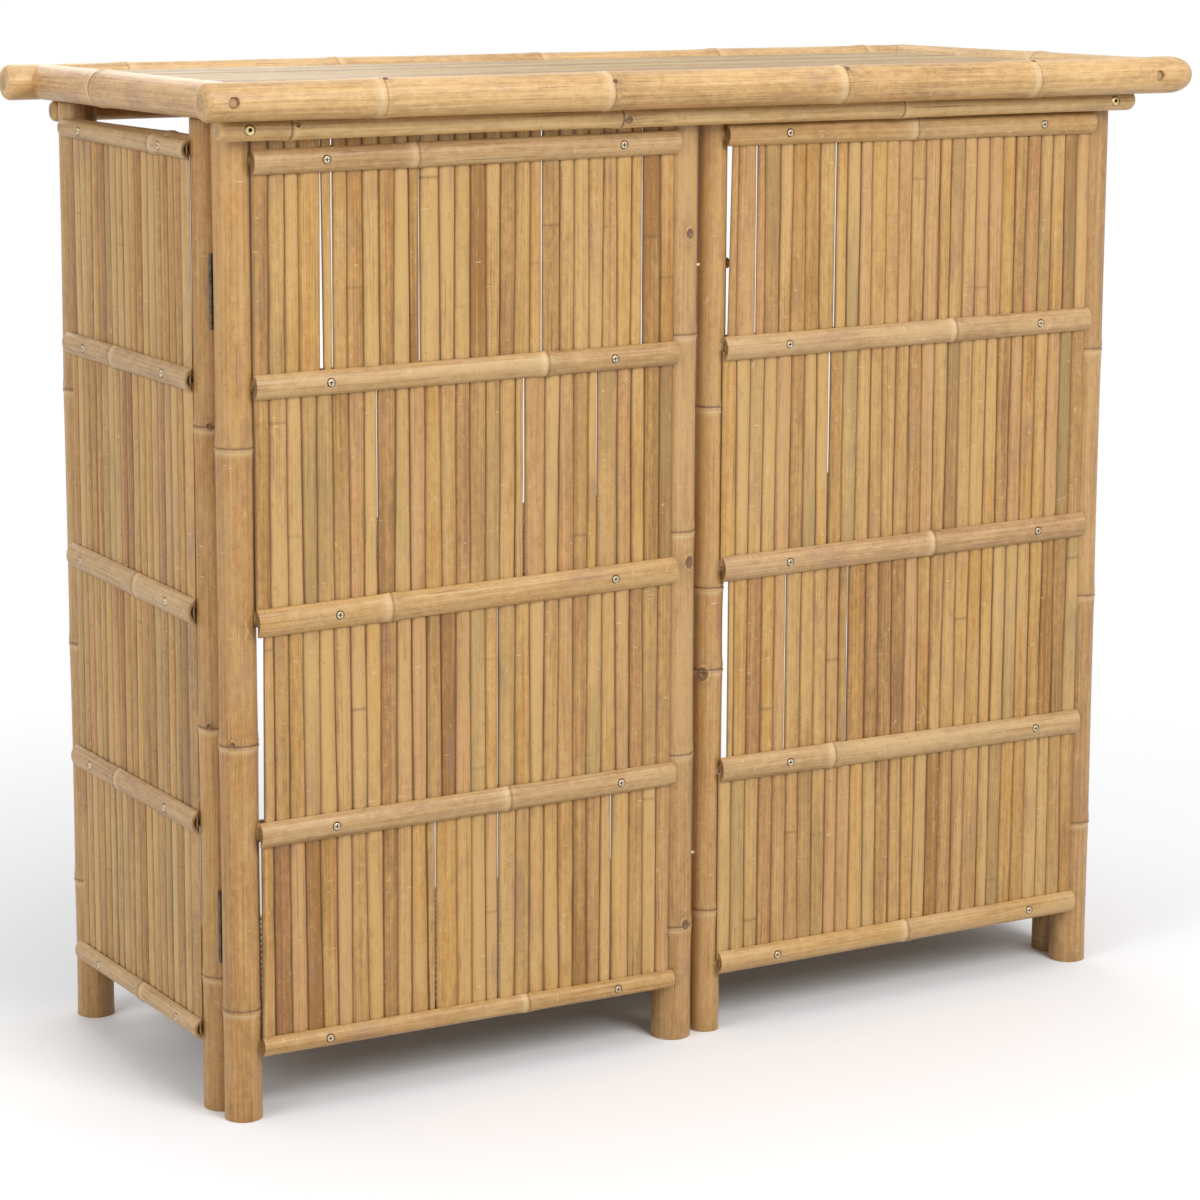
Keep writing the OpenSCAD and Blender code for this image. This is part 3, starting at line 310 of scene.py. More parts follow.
def turned_from(angle, middle):
    """Angle from a middle one, between minus and plus half a turn."""
    return np.mod(angle - middle + math.pi, 2 * math.pi) - math.pi


def node_form(s, nodes, grow, worn):
    """Radius added by the nodes and their darkness: a sharp ridge, a fine dark groove above it and a soft
    swelling round both. A worn node, from 0 to 1, has a lower ridge and a pale band in place of its dark line.
    Widths and places are in millimetres from the node, counted the way the culm grew."""
    added = np.zeros_like(s)
    dark = np.zeros_like(s)
    for n in nodes:
        d = (s / MM - n) * grow
        ridge = (0.9 - 0.4 * worn) * bump(d, 1.3) - 0.4 * bump(d - 2.6, 1.1)
        swelling = 0.6 * bump(d - 6, 4) + 0.35 * bump(d, 16)
        added += (ridge + swelling) * MM
        dark += (0.68 - 0.4 * worn) * bump(d - 2.3, 1.0) + 0.06 * bump(d - 12, 12)
        dark -= 0.3 * worn * bump(d + 4, 5) + 0.26 * (1 - worn) * bump(d + 2.4, 2.6)
    return added, dark


def span_form(rng, S, A, length, nodes, grow, fair):
    """Radius that each span between two nodes loses, by a slight waist and a shallow groove above its lower
    node on a side of its own, and the lightness of each span's skin."""
    marks = [0, *(n * MM for n in nodes), length]
    lost = np.zeros_like(S)
    lightness = np.zeros_like(S)
    for low, high in zip(marks, marks[1:]):
        inside = (S >= low) & (S <= high)
        t = np.clip((S - low) / max(high - low, 1e-6), 0, 1)
        if grow < 0:
            t = 1 - t
        face = rng.uniform(0, 2 * math.pi)
        groove = bump(turned_from(A, face), 0.32) * np.clip(1 - t * 1.4, 0, 1) * np.clip(t * 12, 0, 1)
        lost += inside * (0.35 * np.sin(math.pi * t) + 0.9 * groove) * MM
        light = rng.uniform(0.32, 0.62) - fair + 0.05 * np.sin(A * 2 + face)
        lightness = np.where(inside, light, lightness)
    return lost, lightness


def knot_form(S, A, radius, knots):
    """The radius with its knots, and their darkness: each is a raised ring round a sunk middle, both dark, in
    a faintly stained patch. Distances from its middle are in shares of the knot's own radius."""
    dark = np.zeros_like(S)
    for place, turn, size in knots:
        far = np.hypot(turned_from(A, turn) * radius, (S - place * MM) * 0.85) / (size * MM)
        radius = radius + (bump(far - 0.9, 0.4) - 0.9 * bump(far, 0.45)) * MM
        dark += 0.8 * bump(far - 0.75, 0.24) + 0.9 * bump(far, 0.42)
        dark += 0.14 * bump(far - 1.3, 0.7) - 0.25 * bump(far - 1.15, 0.2)
    return radius, dark


def rounded_ends(S, radius, length, ends):
    """The radius drawn in over each end's depth: a blunt end to under half of it, a dome or bullet almost to
    nothing on a round curve, and a flat or soft end by a quarter circle's edge alone."""
    for k, kind in enumerate(ends):
        depth = END_DEPTHS[kind]
        gone = np.clip(1 - (length - S if k else S) / depth, 0, 1)
        curve = np.sqrt(np.clip(1 - gone ** 2, 0, 1))
        if kind == "blunt":
            radius = radius * (0.45 + 0.55 * np.clip(1 - gone ** 3, 0, 1) ** 0.4)
        elif kind in ("dome", "bullet"):
            radius = radius * (0.12 + 0.88 * curve ** 0.85)
        else:
            radius = radius - depth * 0.8 * (1 - curve)
    return radius


def sink_pits(S, points, start, along, floors, pits):
    """Points within a hole's edge moved to its flat floor, and the painted shade on that floor. The floors are
    given as heights above the pole's axis."""
    dark = np.zeros_like(S)
    for (place, way, size), floor in zip(pits, floors):
        way = np.asarray(way, float)
        off = np.hypot(S - place, (points - start) @ np.cross(along, way))
        height = (points - start) @ way
        sunk = (height > 0) * np.clip((size * 1.06 - off) / (size * 0.12), 0, 1)
        points = points + (sunk * (floor - height))[..., None] * way
        # painted shade on the hole's floor
        dark += 0.42 * sunk
    return points, dark


def coped(points, start, along, saddle):
    """Points of a pole that ends against two round ones: each end is moved back to where a level line through
    the point meets the round side. A saddle is that pole's radius and a point on its axis."""
    for k, (reach, centre) in enumerate(saddle):
        height = np.minimum(np.abs(points[..., 2] - centre[2]), reach * 0.97)
        inset = np.sqrt(reach ** 2 - height ** 2)
        limit = np.dot(np.asarray(centre) - start, along) + (-inset if k else inset)
        now = (points - start) @ along
        moved = np.minimum(now, limit) if k else np.maximum(now, limit)
        points = points + (moved - now)[..., None] * along
    return points


def pole_grid(length, r0, axis, nodes, grow, ends, pits, knots, around):
    """Places along a culm and angles round it for the points of its mesh: even ones, and closer ones at its
    nodes, knots, holes and ends."""
    _, side, up = AXES[axis]
    steps = list(np.linspace(0, length, max(2, int(length / LONG_STEP))))
    angle = np.linspace(0, 2 * math.pi, around, endpoint=False)
    for n in nodes:
        steps += [(n + d * grow) * MM for d in NODE_STEPS]
    for place, way, size in pits:
        steps += [place + size * k for k in PIT_STEPS]
        facing = math.atan2(np.dot(way, up), np.dot(way, side))
        angle = np.append(angle, facing + math.asin(min(1.0, size / r0)) * np.array(PIT_STEPS))
    for place, turn, size in knots:
        steps += [(place + size * k) * MM for k in KNOT_STEPS]
        angle = np.append(angle, turn + np.linspace(-1.6, 1.6, 13) * size * MM / r0)
    for k, kind in enumerate(ends):
        turn = np.linspace(0, math.pi / 2, 3 if kind == "flat" else 9)
        fringe = END_DEPTHS[kind] * (1 - np.sin(turn))
        steps += list(length - fringe if k else fringe)
    angle = np.sort(np.mod(angle, 2 * math.pi))
    angle = angle[np.append(np.diff(angle) > LEAST_TURN, True)]
    return sorted_steps(steps, 0, length, SHORT_STEP), angle


def pole(shell, name, axis, start, length, r0, r1, nodes=(), grow=1, ends=("flat", "flat"), pits=(),
         pit_depth=0.0, knots=(), bend=0.0, saddle=(), around=40, worn=0.0, hue=None, fair=0.0):
    """A bamboo culm. A point is start + along * s + r(s, angle) * (cos(angle) * side + sin(angle) * up). There
    r is the taper from r0 to r1 with the forms of the nodes, spans, knots and ends. A fair culm is paler by
    that share."""
    rng = seeded(name)
    start = np.asarray(start)
    along, side, up = AXES[axis]
    nodes = [n for n in nodes if 8 < n < length / MM - 8]
    s, angle = pole_grid(length, r0, axis, nodes, grow, ends, pits, knots, around)
    S, A = np.meshgrid(s, angle, indexing="ij")
    added, dark = node_form(S, nodes, grow, worn)
    lost, lightness = span_form(rng, S, A, length, nodes, grow, fair)
    radius = r0 + (r1 - r0) * S / length + added - lost
    radius += (0.15 * np.sin(2 * A + rng.uniform(0, 6)) + 0.1 * np.sin(3 * A + S * 9)) * MM
    radius, knot_dark = knot_form(S, A, radius, knots)
    radius = rounded_ends(S, radius, length, ends)
    wave = rng.uniform(0, 6, 4)
    sway = np.sin(math.pi * np.clip(s / length, 0, 1)) * bend
    centre = (sway * np.sin(s * 5 + wave[0]))[:, None] * side + (sway * np.sin(s * 6 + wave[1]))[:, None] * up
    local_side, local_up = radius * np.cos(A), radius * np.sin(A)
    points = start + S[..., None] * along + centre[:, None, :]
    points = points + local_side[..., None] * side + local_up[..., None] * up
    floors = [r0 + (r1 - r0) * place / length - pit_depth for place, _, _ in pits]
    points, pit_shade = sink_pits(S, points, start, along, floors, pits)
    points = coped(points, start, along, saddle)
    grain = np.stack([local_side, local_up, S], axis=-1) + rng.uniform(-40, 40, 3)
    hue = rng.uniform(0.2, 0.6) if hue is None else hue
    tone = np.stack([lightness, 0.5 + dark + knot_dark + pit_shade, np.full_like(S, hue)], axis=-1)
    shell.add(points, grain, np.clip(tone, 0, 1))


def slat(shell, rng, low_a, low_b, high_a, high_b, outward, thick, crown, lean=0.0):
    """A split slat. A point is the ruled surface between edges a and b, pushed outward by the section's share
    of the thickness. The outer part of each edge is pulled in a little by a slow wave. Edge a leans outward by
    lean, where it is scribed to a post. Some slats have a faint node ridge."""
    length = np.linalg.norm(high_a - low_a)
    width = np.linalg.norm(low_b - low_a)
    marks = [rng.uniform(0.1, 0.9) * length] if rng.random() < 0.16 else []
    even = np.linspace(0, length, 2 + int(length / LONG_STEP))[1:-1]
    steps = [0, SLAT_END_STEP, *even, length - SLAT_END_STEP, length]
    for m in marks:
        steps += [m + d * MM for d in (-4, -1, 1, 4)]
    s = sorted_steps(steps, 0, length, 0.6 * MM)
    share, depth = SLAT_SECTION.T
    depth = np.where(depth > 0.6, depth * crown, depth)
    wave = rng.uniform(18, 60, 4)
    pull = 0.5 + 0.5 * np.sin(np.outer(s, wave) + wave * 7)
    pull = (pull[:, :2] * pull[:, 2:]) * EDGE_WAVE / width
    if lean:
        pull[:, 0] = 0.0
    raised = np.clip((depth - 0.2) / 0.25, 0, 1)
    place = share[None, :] + raised * (1 - share) ** 3 * pull[:, :1] - raised * share ** 3 * pull[:, 1:]
    place = place - depth * (1 - share) ** 2 * lean / width
    ridge = np.zeros_like(s)
    dark = np.zeros_like(s)
    for m in marks:
        ridge += 0.25 * MM * bump(s - m, 1.5 * MM)
        dark += rng.uniform(0.05, 0.3) * bump(s - m - 1 * MM, 1.3 * MM)
    back = rng.uniform(0, 0.45 * MM)
    push = depth[None, :] * thick - back * (depth > 0.05)[None, :] + ridge[:, None] * (depth > 0.6)[None, :]
    t = (s / length)[:, None, None]
    left = low_a + (high_a - low_a) * t
    right = low_b + (high_b - low_b) * t
    points = left + (right - left) * place[..., None] + push[..., None] * outward
    across = np.broadcast_to(share * width, push.shape)
    shift = rng.uniform(-40, 40, 3)
    grain = np.stack([across, push, np.broadcast_to(s[:, None], push.shape)], axis=-1) + shift
    light = rng.choice([rng.uniform(low, high) for low, high in SLAT_LIGHTS], p=SLAT_SHARES)
    drift = light + 0.12 * np.sin(s * rng.uniform(3, 9) + rng.uniform(0, 6))
    # the further back a slat sits, the more painted shade there is along its edges, standing for the shade its
    # neighbours cast there
    painted_shade = np.interp(np.abs(share - 0.5), EDGE_SHADE_PLACES, EDGE_SHADE_THERE) * (0.4 + 2.2 * back / MM)
    tone = np.stack([np.broadcast_to(drift[:, None], push.shape), 0.5 + dark[:, None] + painted_shade[None, :],
                     np.full(push.shape, rng.uniform(0, 1))], axis=-1)
    shell.add(points, grain, np.clip(tone, 0, 1))


def split_rail(shell, name, low, high, up, outward, height, depth, screws):
    """A half-split culm. A point is low + along * s + up * (height / 2 * share) + outward * rise(share). There
    rise is a slice of a circle on the outer side, with a dent round each screw, and a shallow hollow on the
    back. At both ends the rings shrink to the culm's hollow and run back into the rail."""
    rng = seeded(name)
    length = np.linalg.norm(high - low)
    along = (high - low) / length
    node = rng.uniform(0.25, 0.75) * length / MM
    steps = [*np.linspace(0, length, int(length / LONG_STEP)), RAIL_EASE, length - RAIL_EASE]
    steps += [(node + d) * MM for d in RAIL_NODE_STEPS]
    for place, _ in screws:
        steps += [place + k * MM for k in RAIL_SCREW_STEPS]
    s = sorted_steps(steps, 0, length, SHORT_STEP)
    half = height / 2
    radius = (half ** 2 + depth ** 2) / (2 * depth)
    arc = np.sqrt(radius ** 2 - (RAIL_FRONT * half) ** 2) - (radius - depth)
    arc = arc * 0.75 + depth * 0.25 * np.sqrt(np.clip(1 - RAIL_FRONT ** 4, 0, 1))
    share = np.concatenate([RAIL_FRONT, RAIL_BACK])
    rise = np.concatenate([arc, RAIL_HOLLOW * depth])
    outer = np.concatenate([np.ones(len(RAIL_FRONT)), np.zeros(len(RAIL_BACK))])
    S, H = np.meshgrid(s, share, indexing="ij")
    added, dark = node_form(S, [node], 1, 0.6)
    tight = 1 + added / half * outer - 0.04 * np.clip(1 - np.minimum(S, length - S) / RAIL_EASE, 0, 1)
    R = rise[None, :] + (added - 0.3 * MM * np.sin(S * 11 + rng.uniform(0, 6)) ** 2) * outer
    for place, level in screws:
        off = np.hypot(S - place, H * half - level)
        sunk = outer * np.clip((DENT_RADIUS - off) / (0.7 * MM), 0, 1)
        R = R - sunk * DENT_DEPTH
        # painted shade in the dent round the screw
        dark = dark + 0.4 * sunk
    bore_share = np.concatenate([RAIL_FRONT * 0.72, RAIL_BACK * 0.8])
    bore_arc = np.clip(arc * 1.02 - RAIL_WALL, 0.5 * MM, None)
    bore_rise = np.concatenate([bore_arc, np.full(len(RAIL_BACK), 0.4 * MM)])
    bore = np.outer([0, RAIL_BORE], np.ones(len(share)))
    # painted shade inside the culm's hollow at the open ends
    bore_shade = np.full(bore.shape, 0.45)
    S = np.concatenate([bore[::-1], S, length - bore])
    H = np.concatenate([[bore_share] * 2, H * tight, [bore_share] * 2])
    R = np.concatenate([[bore_rise] * 2, R, [bore_rise] * 2])
    dark = np.concatenate([bore_shade, dark, bore_shade])
    points = low + S[..., None] * along + (H * half)[..., None] * up + R[..., None] * outward
    grain = np.stack([H * half, R, S], axis=-1) + rng.uniform(-40, 40, 3)
    light = np.zeros_like(S)
    for first, last in ((0, node * MM), (node * MM, length)):
        light = np.where((S >= first) & (S <= last), rng.uniform(0.28, 0.55), light)
    tone = np.stack([light, 0.5 + dark, np.full_like(S, rng.uniform(0.2, 0.7))], axis=-1)
    shell.add(points, grain, np.clip(tone, 0, 1))


def fastener(shell, place, inward, head_r, thick, shank_r, length, recess):
    """A screw or bolt. A point of the head is place + radius * (cos(turn), sin(turn)) + inward * sink. There
    sink is a rounded edge plus the recess: a cross where either offset from the axis is small, or a six-sided
    socket. Below the head the rings run down the shank to its tip."""
    side = np.array([inward[2], inward[0], inward[1]])
    up = np.cross(inward, side)
    radius, turn = np.meshgrid(HEAD_RINGS * head_r, HEAD_TURNS, indexing="ij")
    x, y = radius * np.cos(turn), radius * np.sin(turn)
    rim = radius / head_r
    if recess == "cross":
        arm = np.minimum(np.abs(x), np.abs(y))
        inside = np.clip((0.13 * head_r - arm) / (0.05 * head_r), 0, 1) * (rim < 0.6)
        sink = 0.35 * thick * np.clip((rim - 0.8) / 0.2, 0, 1) ** 2
    else:
        flat = np.cos(np.mod(turn, math.pi / 3) - math.pi / 6) * rim
        inside = np.clip((0.4 - flat) / 0.05, 0, 1)
        sink = 0.4 * thick * np.clip((rim - 0.55) / 0.45, 0, 1) ** 1.5
    sink = sink + inside * 0.62 * thick
    # radius and depth of the rings under the head
    below = np.array([
        (head_r, thick), (shank_r * 1.02, thick), (shank_r, thick + 0.4 * MM), (shank_r, length - 2 * MM),
        (shank_r * 0.3, length),
    ])
    round_side = np.ones(len(HEAD_TURNS))
    x = np.concatenate([x, np.outer(below[:, 0], np.cos(HEAD_TURNS))])
    y = np.concatenate([y, np.outer(below[:, 0], np.sin(HEAD_TURNS))])
    sink = np.concatenate([sink, np.outer(below[:, 1], round_side)])
    # painted shade: the cross or socket recess, the head's outer edge and the shank are darkened as if in
    # shadow
    head_shade = np.maximum(inside, 0.5 * np.clip((rim - 0.9) / 0.1, 0, 1))
    painted_shade = np.concatenate([head_shade, np.outer(np.full(len(below), 0.6), round_side)])
    points = place + x[..., None] * side + y[..., None] * up + sink[..., None] * inward
    tone = np.stack([painted_shade, np.full_like(painted_shade, 0.5), np.zeros_like(painted_shade)], axis=-1)
    shell.add(points, points, tone)


# Materials

def value_node(tree, kind, **inputs):
    """A new node with values in its inputs, an underline in an input's name standing for a space."""
    node = tree.nodes.new(kind)
    for key, value in inputs.items():
        node.inputs[key.replace("_", " ")].default_value = value
    return node


def math_node(tree, what, first, second=None, third=None, clamp=False):
    """Output of a math node whose operands are numbers or other nodes' outputs."""
    node = tree.nodes.new("ShaderNodeMath")
    node.operation = what
    node.use_clamp = clamp
    for k, item in enumerate((first, second, third)):
        if item is None:
            continue
        if isinstance(item, (int, float)):
            node.inputs[k].default_value = item
        else:
            tree.links.new(item, node.inputs[k])
    return node.outputs[0]


def times(tree, first, second):
    return math_node(tree, "MULTIPLY", first, second)


def mix_colour(tree, factor, first, second, blend="MIX"):
    """Output of a colour mix whose inputs are values or other nodes' outputs."""
    node = tree.nodes.new("ShaderNodeMix")
    node.data_type = "RGBA"
    node.blend_type = blend
    for key, item in ((0, factor), (6, first), (7, second)):
        if isinstance(item, (int, float, tuple)):
            node.inputs[key].default_value = item
        else:
            tree.links.new(item, node.inputs[key])
    return node.outputs[2]


def painted(tree, colour, mask, share, tint):
    """The colour, turned towards a tint by a share where the mask is 1."""
    return mix_colour(tree, times(tree, mask, share), colour, (*tint, 1))


def stretched(tree, vector, scale):
    """The vector with each axis scaled by itself, so that a small last number makes long fibres."""
    mapping = value_node(tree, "ShaderNodeMapping", Scale=scale)
    tree.links.new(vector, mapping.inputs["Vector"])
    return mapping.outputs[0]


def spread(tree, item, low, high):
    """Stretches a value so that low becomes 0 and high becomes 1."""
    node = value_node(tree, "ShaderNodeMapRange", From_Min=low, From_Max=high)
    node.clamp = True
    tree.links.new(item, node.inputs["Value"])
    return node.outputs[0]


def spread_by(tree, item, low, high, other, other_low, other_high):
    """Two values, both spread, multiplied by each other."""
    return times(tree, spread(tree, item, low, high), spread(tree, other, other_low, other_high))


# noises on the grain coordinates: scale across, across and along the grain, detail and roughness
GRAIN_NOISES = {
    "fibre": ((900, 900, 7), 3, 0.6),
    "fine": ((2600, 2600, 26), 2, 0.5),
    "streak": ((210, 210, 2.2), 3, 0.6),
    "cloud": ((26, 26, 7), 4, 0.55),
    "patch": ((60, 60, 16), 5, 0.65),
    "mottle": ((150, 150, 75), 4, 0.7),
    "blush": ((34, 34, 11), 2, 0.5),
    "crack": ((820, 820, 10), 2, 0.5),
    "fleck": ((90, 90, 30), 1, 0.5),
    "scuff": ((75, 75, 420), 1.5, 0.5),
    "scar": ((130, 130, 60), 2, 0.6),
    "mould": ((520, 520, 120), 3, 0.7),
}

# how much each noise moves the skin between its pale, honey and brown colours
SWINGS = (("fibre", 1.35), ("streak", 1.0), ("cloud", 0.75), ("mottle", 1.15))


def bamboo_group():
    """Colour, roughness and height of bamboo skin from its grain coordinates and its tone attribute."""
    tree = bpy.data.node_groups.get("Bamboo Skin")
    if tree:
        return tree
    tree = bpy.data.node_groups.new("Bamboo Skin", "ShaderNodeTree")
    tree.interface.new_socket(name="Grain", in_out="INPUT", socket_type="NodeSocketVector")
    for name in ("Tone", "Pale", "Honey", "Brown", "Grey"):
        tree.interface.new_socket(name=name, in_out="INPUT", socket_type="NodeSocketColor")
    for name in ("Fibre", "Stain"):
        tree.interface.new_socket(name=name, in_out="INPUT", socket_type="NodeSocketFloat")
    tree.interface.new_socket(name="Color", in_out="OUTPUT", socket_type="NodeSocketColor")
    for name in ("Roughness", "Height"):
        tree.interface.new_socket(name=name, in_out="OUTPUT", socket_type="NodeSocketFloat")
    given = tree.nodes.new("NodeGroupInput").outputs
    result = tree.nodes.new("NodeGroupOutput").inputs
    parts = tree.nodes.new("ShaderNodeSeparateColor")
    tree.links.new(given["Tone"], parts.inputs[0])
    light, marks_and_shade, hue = parts.outputs[:3]
    noise = {}
    for name, (scale, detail, rough) in GRAIN_NOISES.items():
        node = value_node(tree, "ShaderNodeTexNoise", Scale=1.0, Detail=detail, Roughness=rough)
        tree.links.new(stretched(tree, given["Grain"], scale), node.inputs["Vector"])
        noise[name] = node.outputs[0]
    cloud, patch = noise["cloud"], noise["patch"]

    # the skin between its three colours, then its hue
    swing = light
    for name, amount in SWINGS:
        swing = math_node(tree, "MULTIPLY_ADD", math_node(tree, "SUBTRACT", noise[name], 0.5), amount, swing)
    colour = mix_colour(tree, spread(tree, swing, 0.15, 0.55), given["Pale"], given["Honey"])
    colour = mix_colour(tree, spread(tree, swing, 0.55, 1.05), colour, given["Brown"])
    pinkish = mix_colour(tree, 1.0, colour, (0.97, 0.90, 0.97, 1), "MULTIPLY")
    amber = mix_colour(tree, 1.0, colour, (1.02, 0.95, 0.76, 1), "MULTIPLY")
    colour = mix_colour(tree, spread(tree, hue, 0.26, 0.1), colour, pinkish)
    ripe = spread_by(tree, hue, 0.42, 0.55, hue, 0.82, 0.7)
    colour = mix_colour(tree, times(tree, ripe, spread(tree, cloud, 0.3, 0.6)), colour, amber)
    greyed = spread_by(tree, cloud, 0.38, 0.66, hue, 0.72, 1.0)
    colour = mix_colour(tree, times(tree, greyed, 0.8), colour, given["Grey"])

    # stains, reddish blushes and fine cracks
    stained = times(tree, spread(tree, patch, 0.58, 0.76), given["Stain"])
    colour = painted(tree, colour, stained, 0.45, (0.25, 0.135, 0.065))
    blush = times(tree, spread(tree, noise["blush"], 0.6, 0.74), given["Stain"])
    colour = painted(tree, colour, blush, 0.45, (0.30, 0.165, 0.12))
    crack = spread_by(tree, noise["crack"], 0.63, 0.69, cloud, 0.4, 0.6)
    colour = painted(tree, colour, crack, 0.68, (0.17, 0.085, 0.04))

    # fine dark flecks, pale scuffs across the grain, and mould in places
    cells = value_node(tree, "ShaderNodeTexVoronoi", Scale=1.0)
    tree.links.new(stretched(tree, given["Grain"], (420, 420, 150)), cells.inputs["Vector"])
    fleck = spread_by(tree, cells.outputs["Distance"], 0.24, 0.1, noise["fleck"], 0.6, 0.66)
    colour = painted(tree, colour, fleck, 0.72, (0.16, 0.085, 0.04))
    scuff = spread_by(tree, noise["scuff"], 0.69, 0.74, patch, 0.46, 0.56)
    scar = times(tree, spread(tree, noise["scar"], 0.7, 0.78), 0.8)
    colour = painted(tree, colour, math_node(tree, "MAXIMUM", scuff, scar), 0.45, (0.82, 0.62, 0.38))
    mould = times(tree, spread_by(tree, noise["mould"], 0.55, 0.68, cloud, 0.66, 0.74), given["Stain"])
    colour = painted(tree, colour, mould, 0.6, (0.13, 0.085, 0.035))

    # the marks of nodes and knots, and the painted shade at slat edges and in holes, dents and open ends: dark
    # above a half, pale below it
    uneven = math_node(tree, "MULTIPLY_ADD", noise["fibre"], 0.9, 0.45)
    dark_marks_and_shade = times(tree, spread(tree, marks_and_shade, 0.5, 1.0), uneven)
    colour = painted(tree, colour, dark_marks_and_shade, 0.95, (0.13, 0.068, 0.03))
    colour = painted(tree, colour, spread(tree, marks_and_shade, 0.5, 0.2), 0.6, (0.74, 0.55, 0.31))

    rough = math_node(tree, "MULTIPLY_ADD", noise["fibre"], 0.22, 0.36)
    rough = math_node(tree, "MULTIPLY_ADD", stained, 0.15, rough, clamp=True)
    height = times(tree, math_node(tree, "ADD", noise["fibre"], noise["fine"]), given["Fibre"])
    height = math_node(tree, "MULTIPLY_ADD", math_node(tree, "MAXIMUM", fleck, crack), -0.8, height)
    tree.links.new(colour, result["Color"])
    tree.links.new(rough, result["Roughness"])
    tree.links.new(height, result["Height"])
    return tree


def link_relief(tree, height, strength, distance):
    """A Bump node from a height to the shader's normal."""
    relief = value_node(tree, "ShaderNodeBump", Strength=strength, Distance=distance)
    tree.links.new(height, relief.inputs["Height"])
    tree.links.new(relief.outputs["Normal"], tree.nodes["Principled BSDF"].inputs["Normal"])


def attribute(tree, name, output):
    """Output of a node that reads a mesh attribute."""
    reader = tree.nodes.new("ShaderNodeAttribute")
    reader.attribute_name = name
    return reader.outputs[output]


def on_object(tree, *textures):
    """Lays textures out in the object's own coordinates."""
    place = tree.nodes.new("ShaderNodeTexCoord").outputs["Object"]
    for texture in textures:
        tree.links.new(place, texture.inputs["Vector"])


def new_material(name):
    """A new material, its node tree and its shader."""
    material = bpy.data.materials.new(name)
    material.use_nodes = True
    tree = material.node_tree
    return material, tree, tree.nodes["Principled BSDF"]


def bamboo(name, colours, fibre, stain, coat):
    """Bamboo skin in one finish. The colours are the four that the grain runs between."""
    material = bpy.data.materials.get(name)
    if material:
        return material
    material, tree, shader = new_material(name)
    skin = tree.nodes.new("ShaderNodeGroup")
    skin.node_tree = bamboo_group()
    for key, value in colours.items():
        skin.inputs[key].default_value = (*value, 1)
    skin.inputs["Fibre"].default_value = fibre
    skin.inputs["Stain"].default_value = stain
    tree.links.new(attribute(tree, "grain", "Vector"), skin.inputs["Grain"])
    tree.links.new(attribute(tree, "tone", "Color"), skin.inputs["Tone"])
    tree.links.new(skin.outputs["Color"], shader.inputs["Base Color"])
    tree.links.new(skin.outputs["Roughness"], shader.inputs["Roughness"])
    link_relief(tree, skin.outputs["Height"], 0.35, 0.0004)
    shader.inputs["Coat Weight"].default_value = coat
    shader.inputs["Coat Roughness"].default_value = 0.3
    shader.inputs["Specular IOR Level"].default_value = 0.36
    return material


def sawn_end():
    """Cut bamboo: pale ground with the dark dots of its vessels and faint saw marks."""
    material = bpy.data.materials.get("Sawn Bamboo")
    if material:
        return material
    material, tree, shader = new_material("Sawn Bamboo")
    cells = value_node(tree, "ShaderNodeTexVoronoi", Scale=900.0)
    cloud = value_node(tree, "ShaderNodeTexNoise", Scale=90.0, Detail=4.0)
    saw = value_node(tree, "ShaderNodeTexWave", Scale=260.0, Distortion=3.0)
    on_object(tree, cells, cloud, saw)
    dots = spread(tree, cells.outputs["Distance"], 0.42, 0.2)
    colour = mix_colour(tree, cloud.outputs[0], (0.60, 0.42, 0.22, 1), (0.38, 0.23, 0.11, 1))
    colour = painted(tree, colour, dots, 0.5, (0.20, 0.11, 0.05))
    tree.links.new(colour, shader.inputs["Base Color"])
    shader.inputs["Roughness"].default_value = 0.75
    link_relief(tree, math_node(tree, "MULTIPLY_ADD", saw.outputs[1], 0.4, dots), 0.3, 0.0003)
    return material


def metal(name, colour, worn, rough, scale):
    """Steel with a mottled plating, darker in patches, fine tool marks, and painted shade, nearly black, in
    the recesses and at the head's edge where the tone attribute asks for it."""
    material, tree, shader = new_material(name)
    cloud = value_node(tree, "ShaderNodeTexNoise", Scale=scale, Detail=5.0, Roughness=0.65)
    fine = value_node(tree, "ShaderNodeTexNoise", Scale=scale * 9, Detail=2.0)
    on_object(tree, cloud, fine)
    patch = spread(tree, cloud.outputs[0], 0.4, 0.68)
    parts = tree.nodes.new("ShaderNodeSeparateColor")
    tree.links.new(attribute(tree, "tone", "Color"), parts.inputs[0])
    plating = mix_colour(tree, patch, (*colour, 1), (*worn, 1))
    # painted shade: the fasteners' recesses, head edges and shanks darkened nearly to black by the tone
    # attribute
    plating = mix_colour(tree, parts.outputs[0], plating, (0.03, 0.022, 0.016, 1))
    tree.links.new(plating, shader.inputs["Base Color"])
    shader.inputs["Metallic"].default_value = 1.0
    tree.links.new(math_node(tree, "MULTIPLY_ADD", patch, 0.25, rough), shader.inputs["Roughness"])
    link_relief(tree, fine.outputs[0], 0.25, 0.0001)
    return material


# depth of the fibres, amount of stains and weight of the varnish in each bamboo finish
FINISHES = {
    "post": (0.7, 1.0, 0.18),
    "rim": (0.7, 0.8, 0.18),
    "rail": (0.8, 0.7, 0.15),
    "slat": (1.2, 0.8, 0.08),
    "counter": (1.0, 0.3, 0.05),
    "plain": (1.0, 1.2, 0.04),
}

# name, plated colour, worn colour, roughness and scale of the mottling of the metal in each slot
METALS = {
    "screw_steel": ("Zinc Plated Steel", (0.74, 0.64, 0.47), (0.44, 0.34, 0.22), 0.3, 240.0),
    "brass_bolt": ("Yellow Passivated Steel", (0.86, 0.70, 0.36), (0.60, 0.44, 0.19), 0.25, 240.0),
    "hinge_steel": ("Bronzed Hinge Steel", (0.16, 0.125, 0.09), (0.06, 0.045, 0.035), 0.42, 120.0),
}


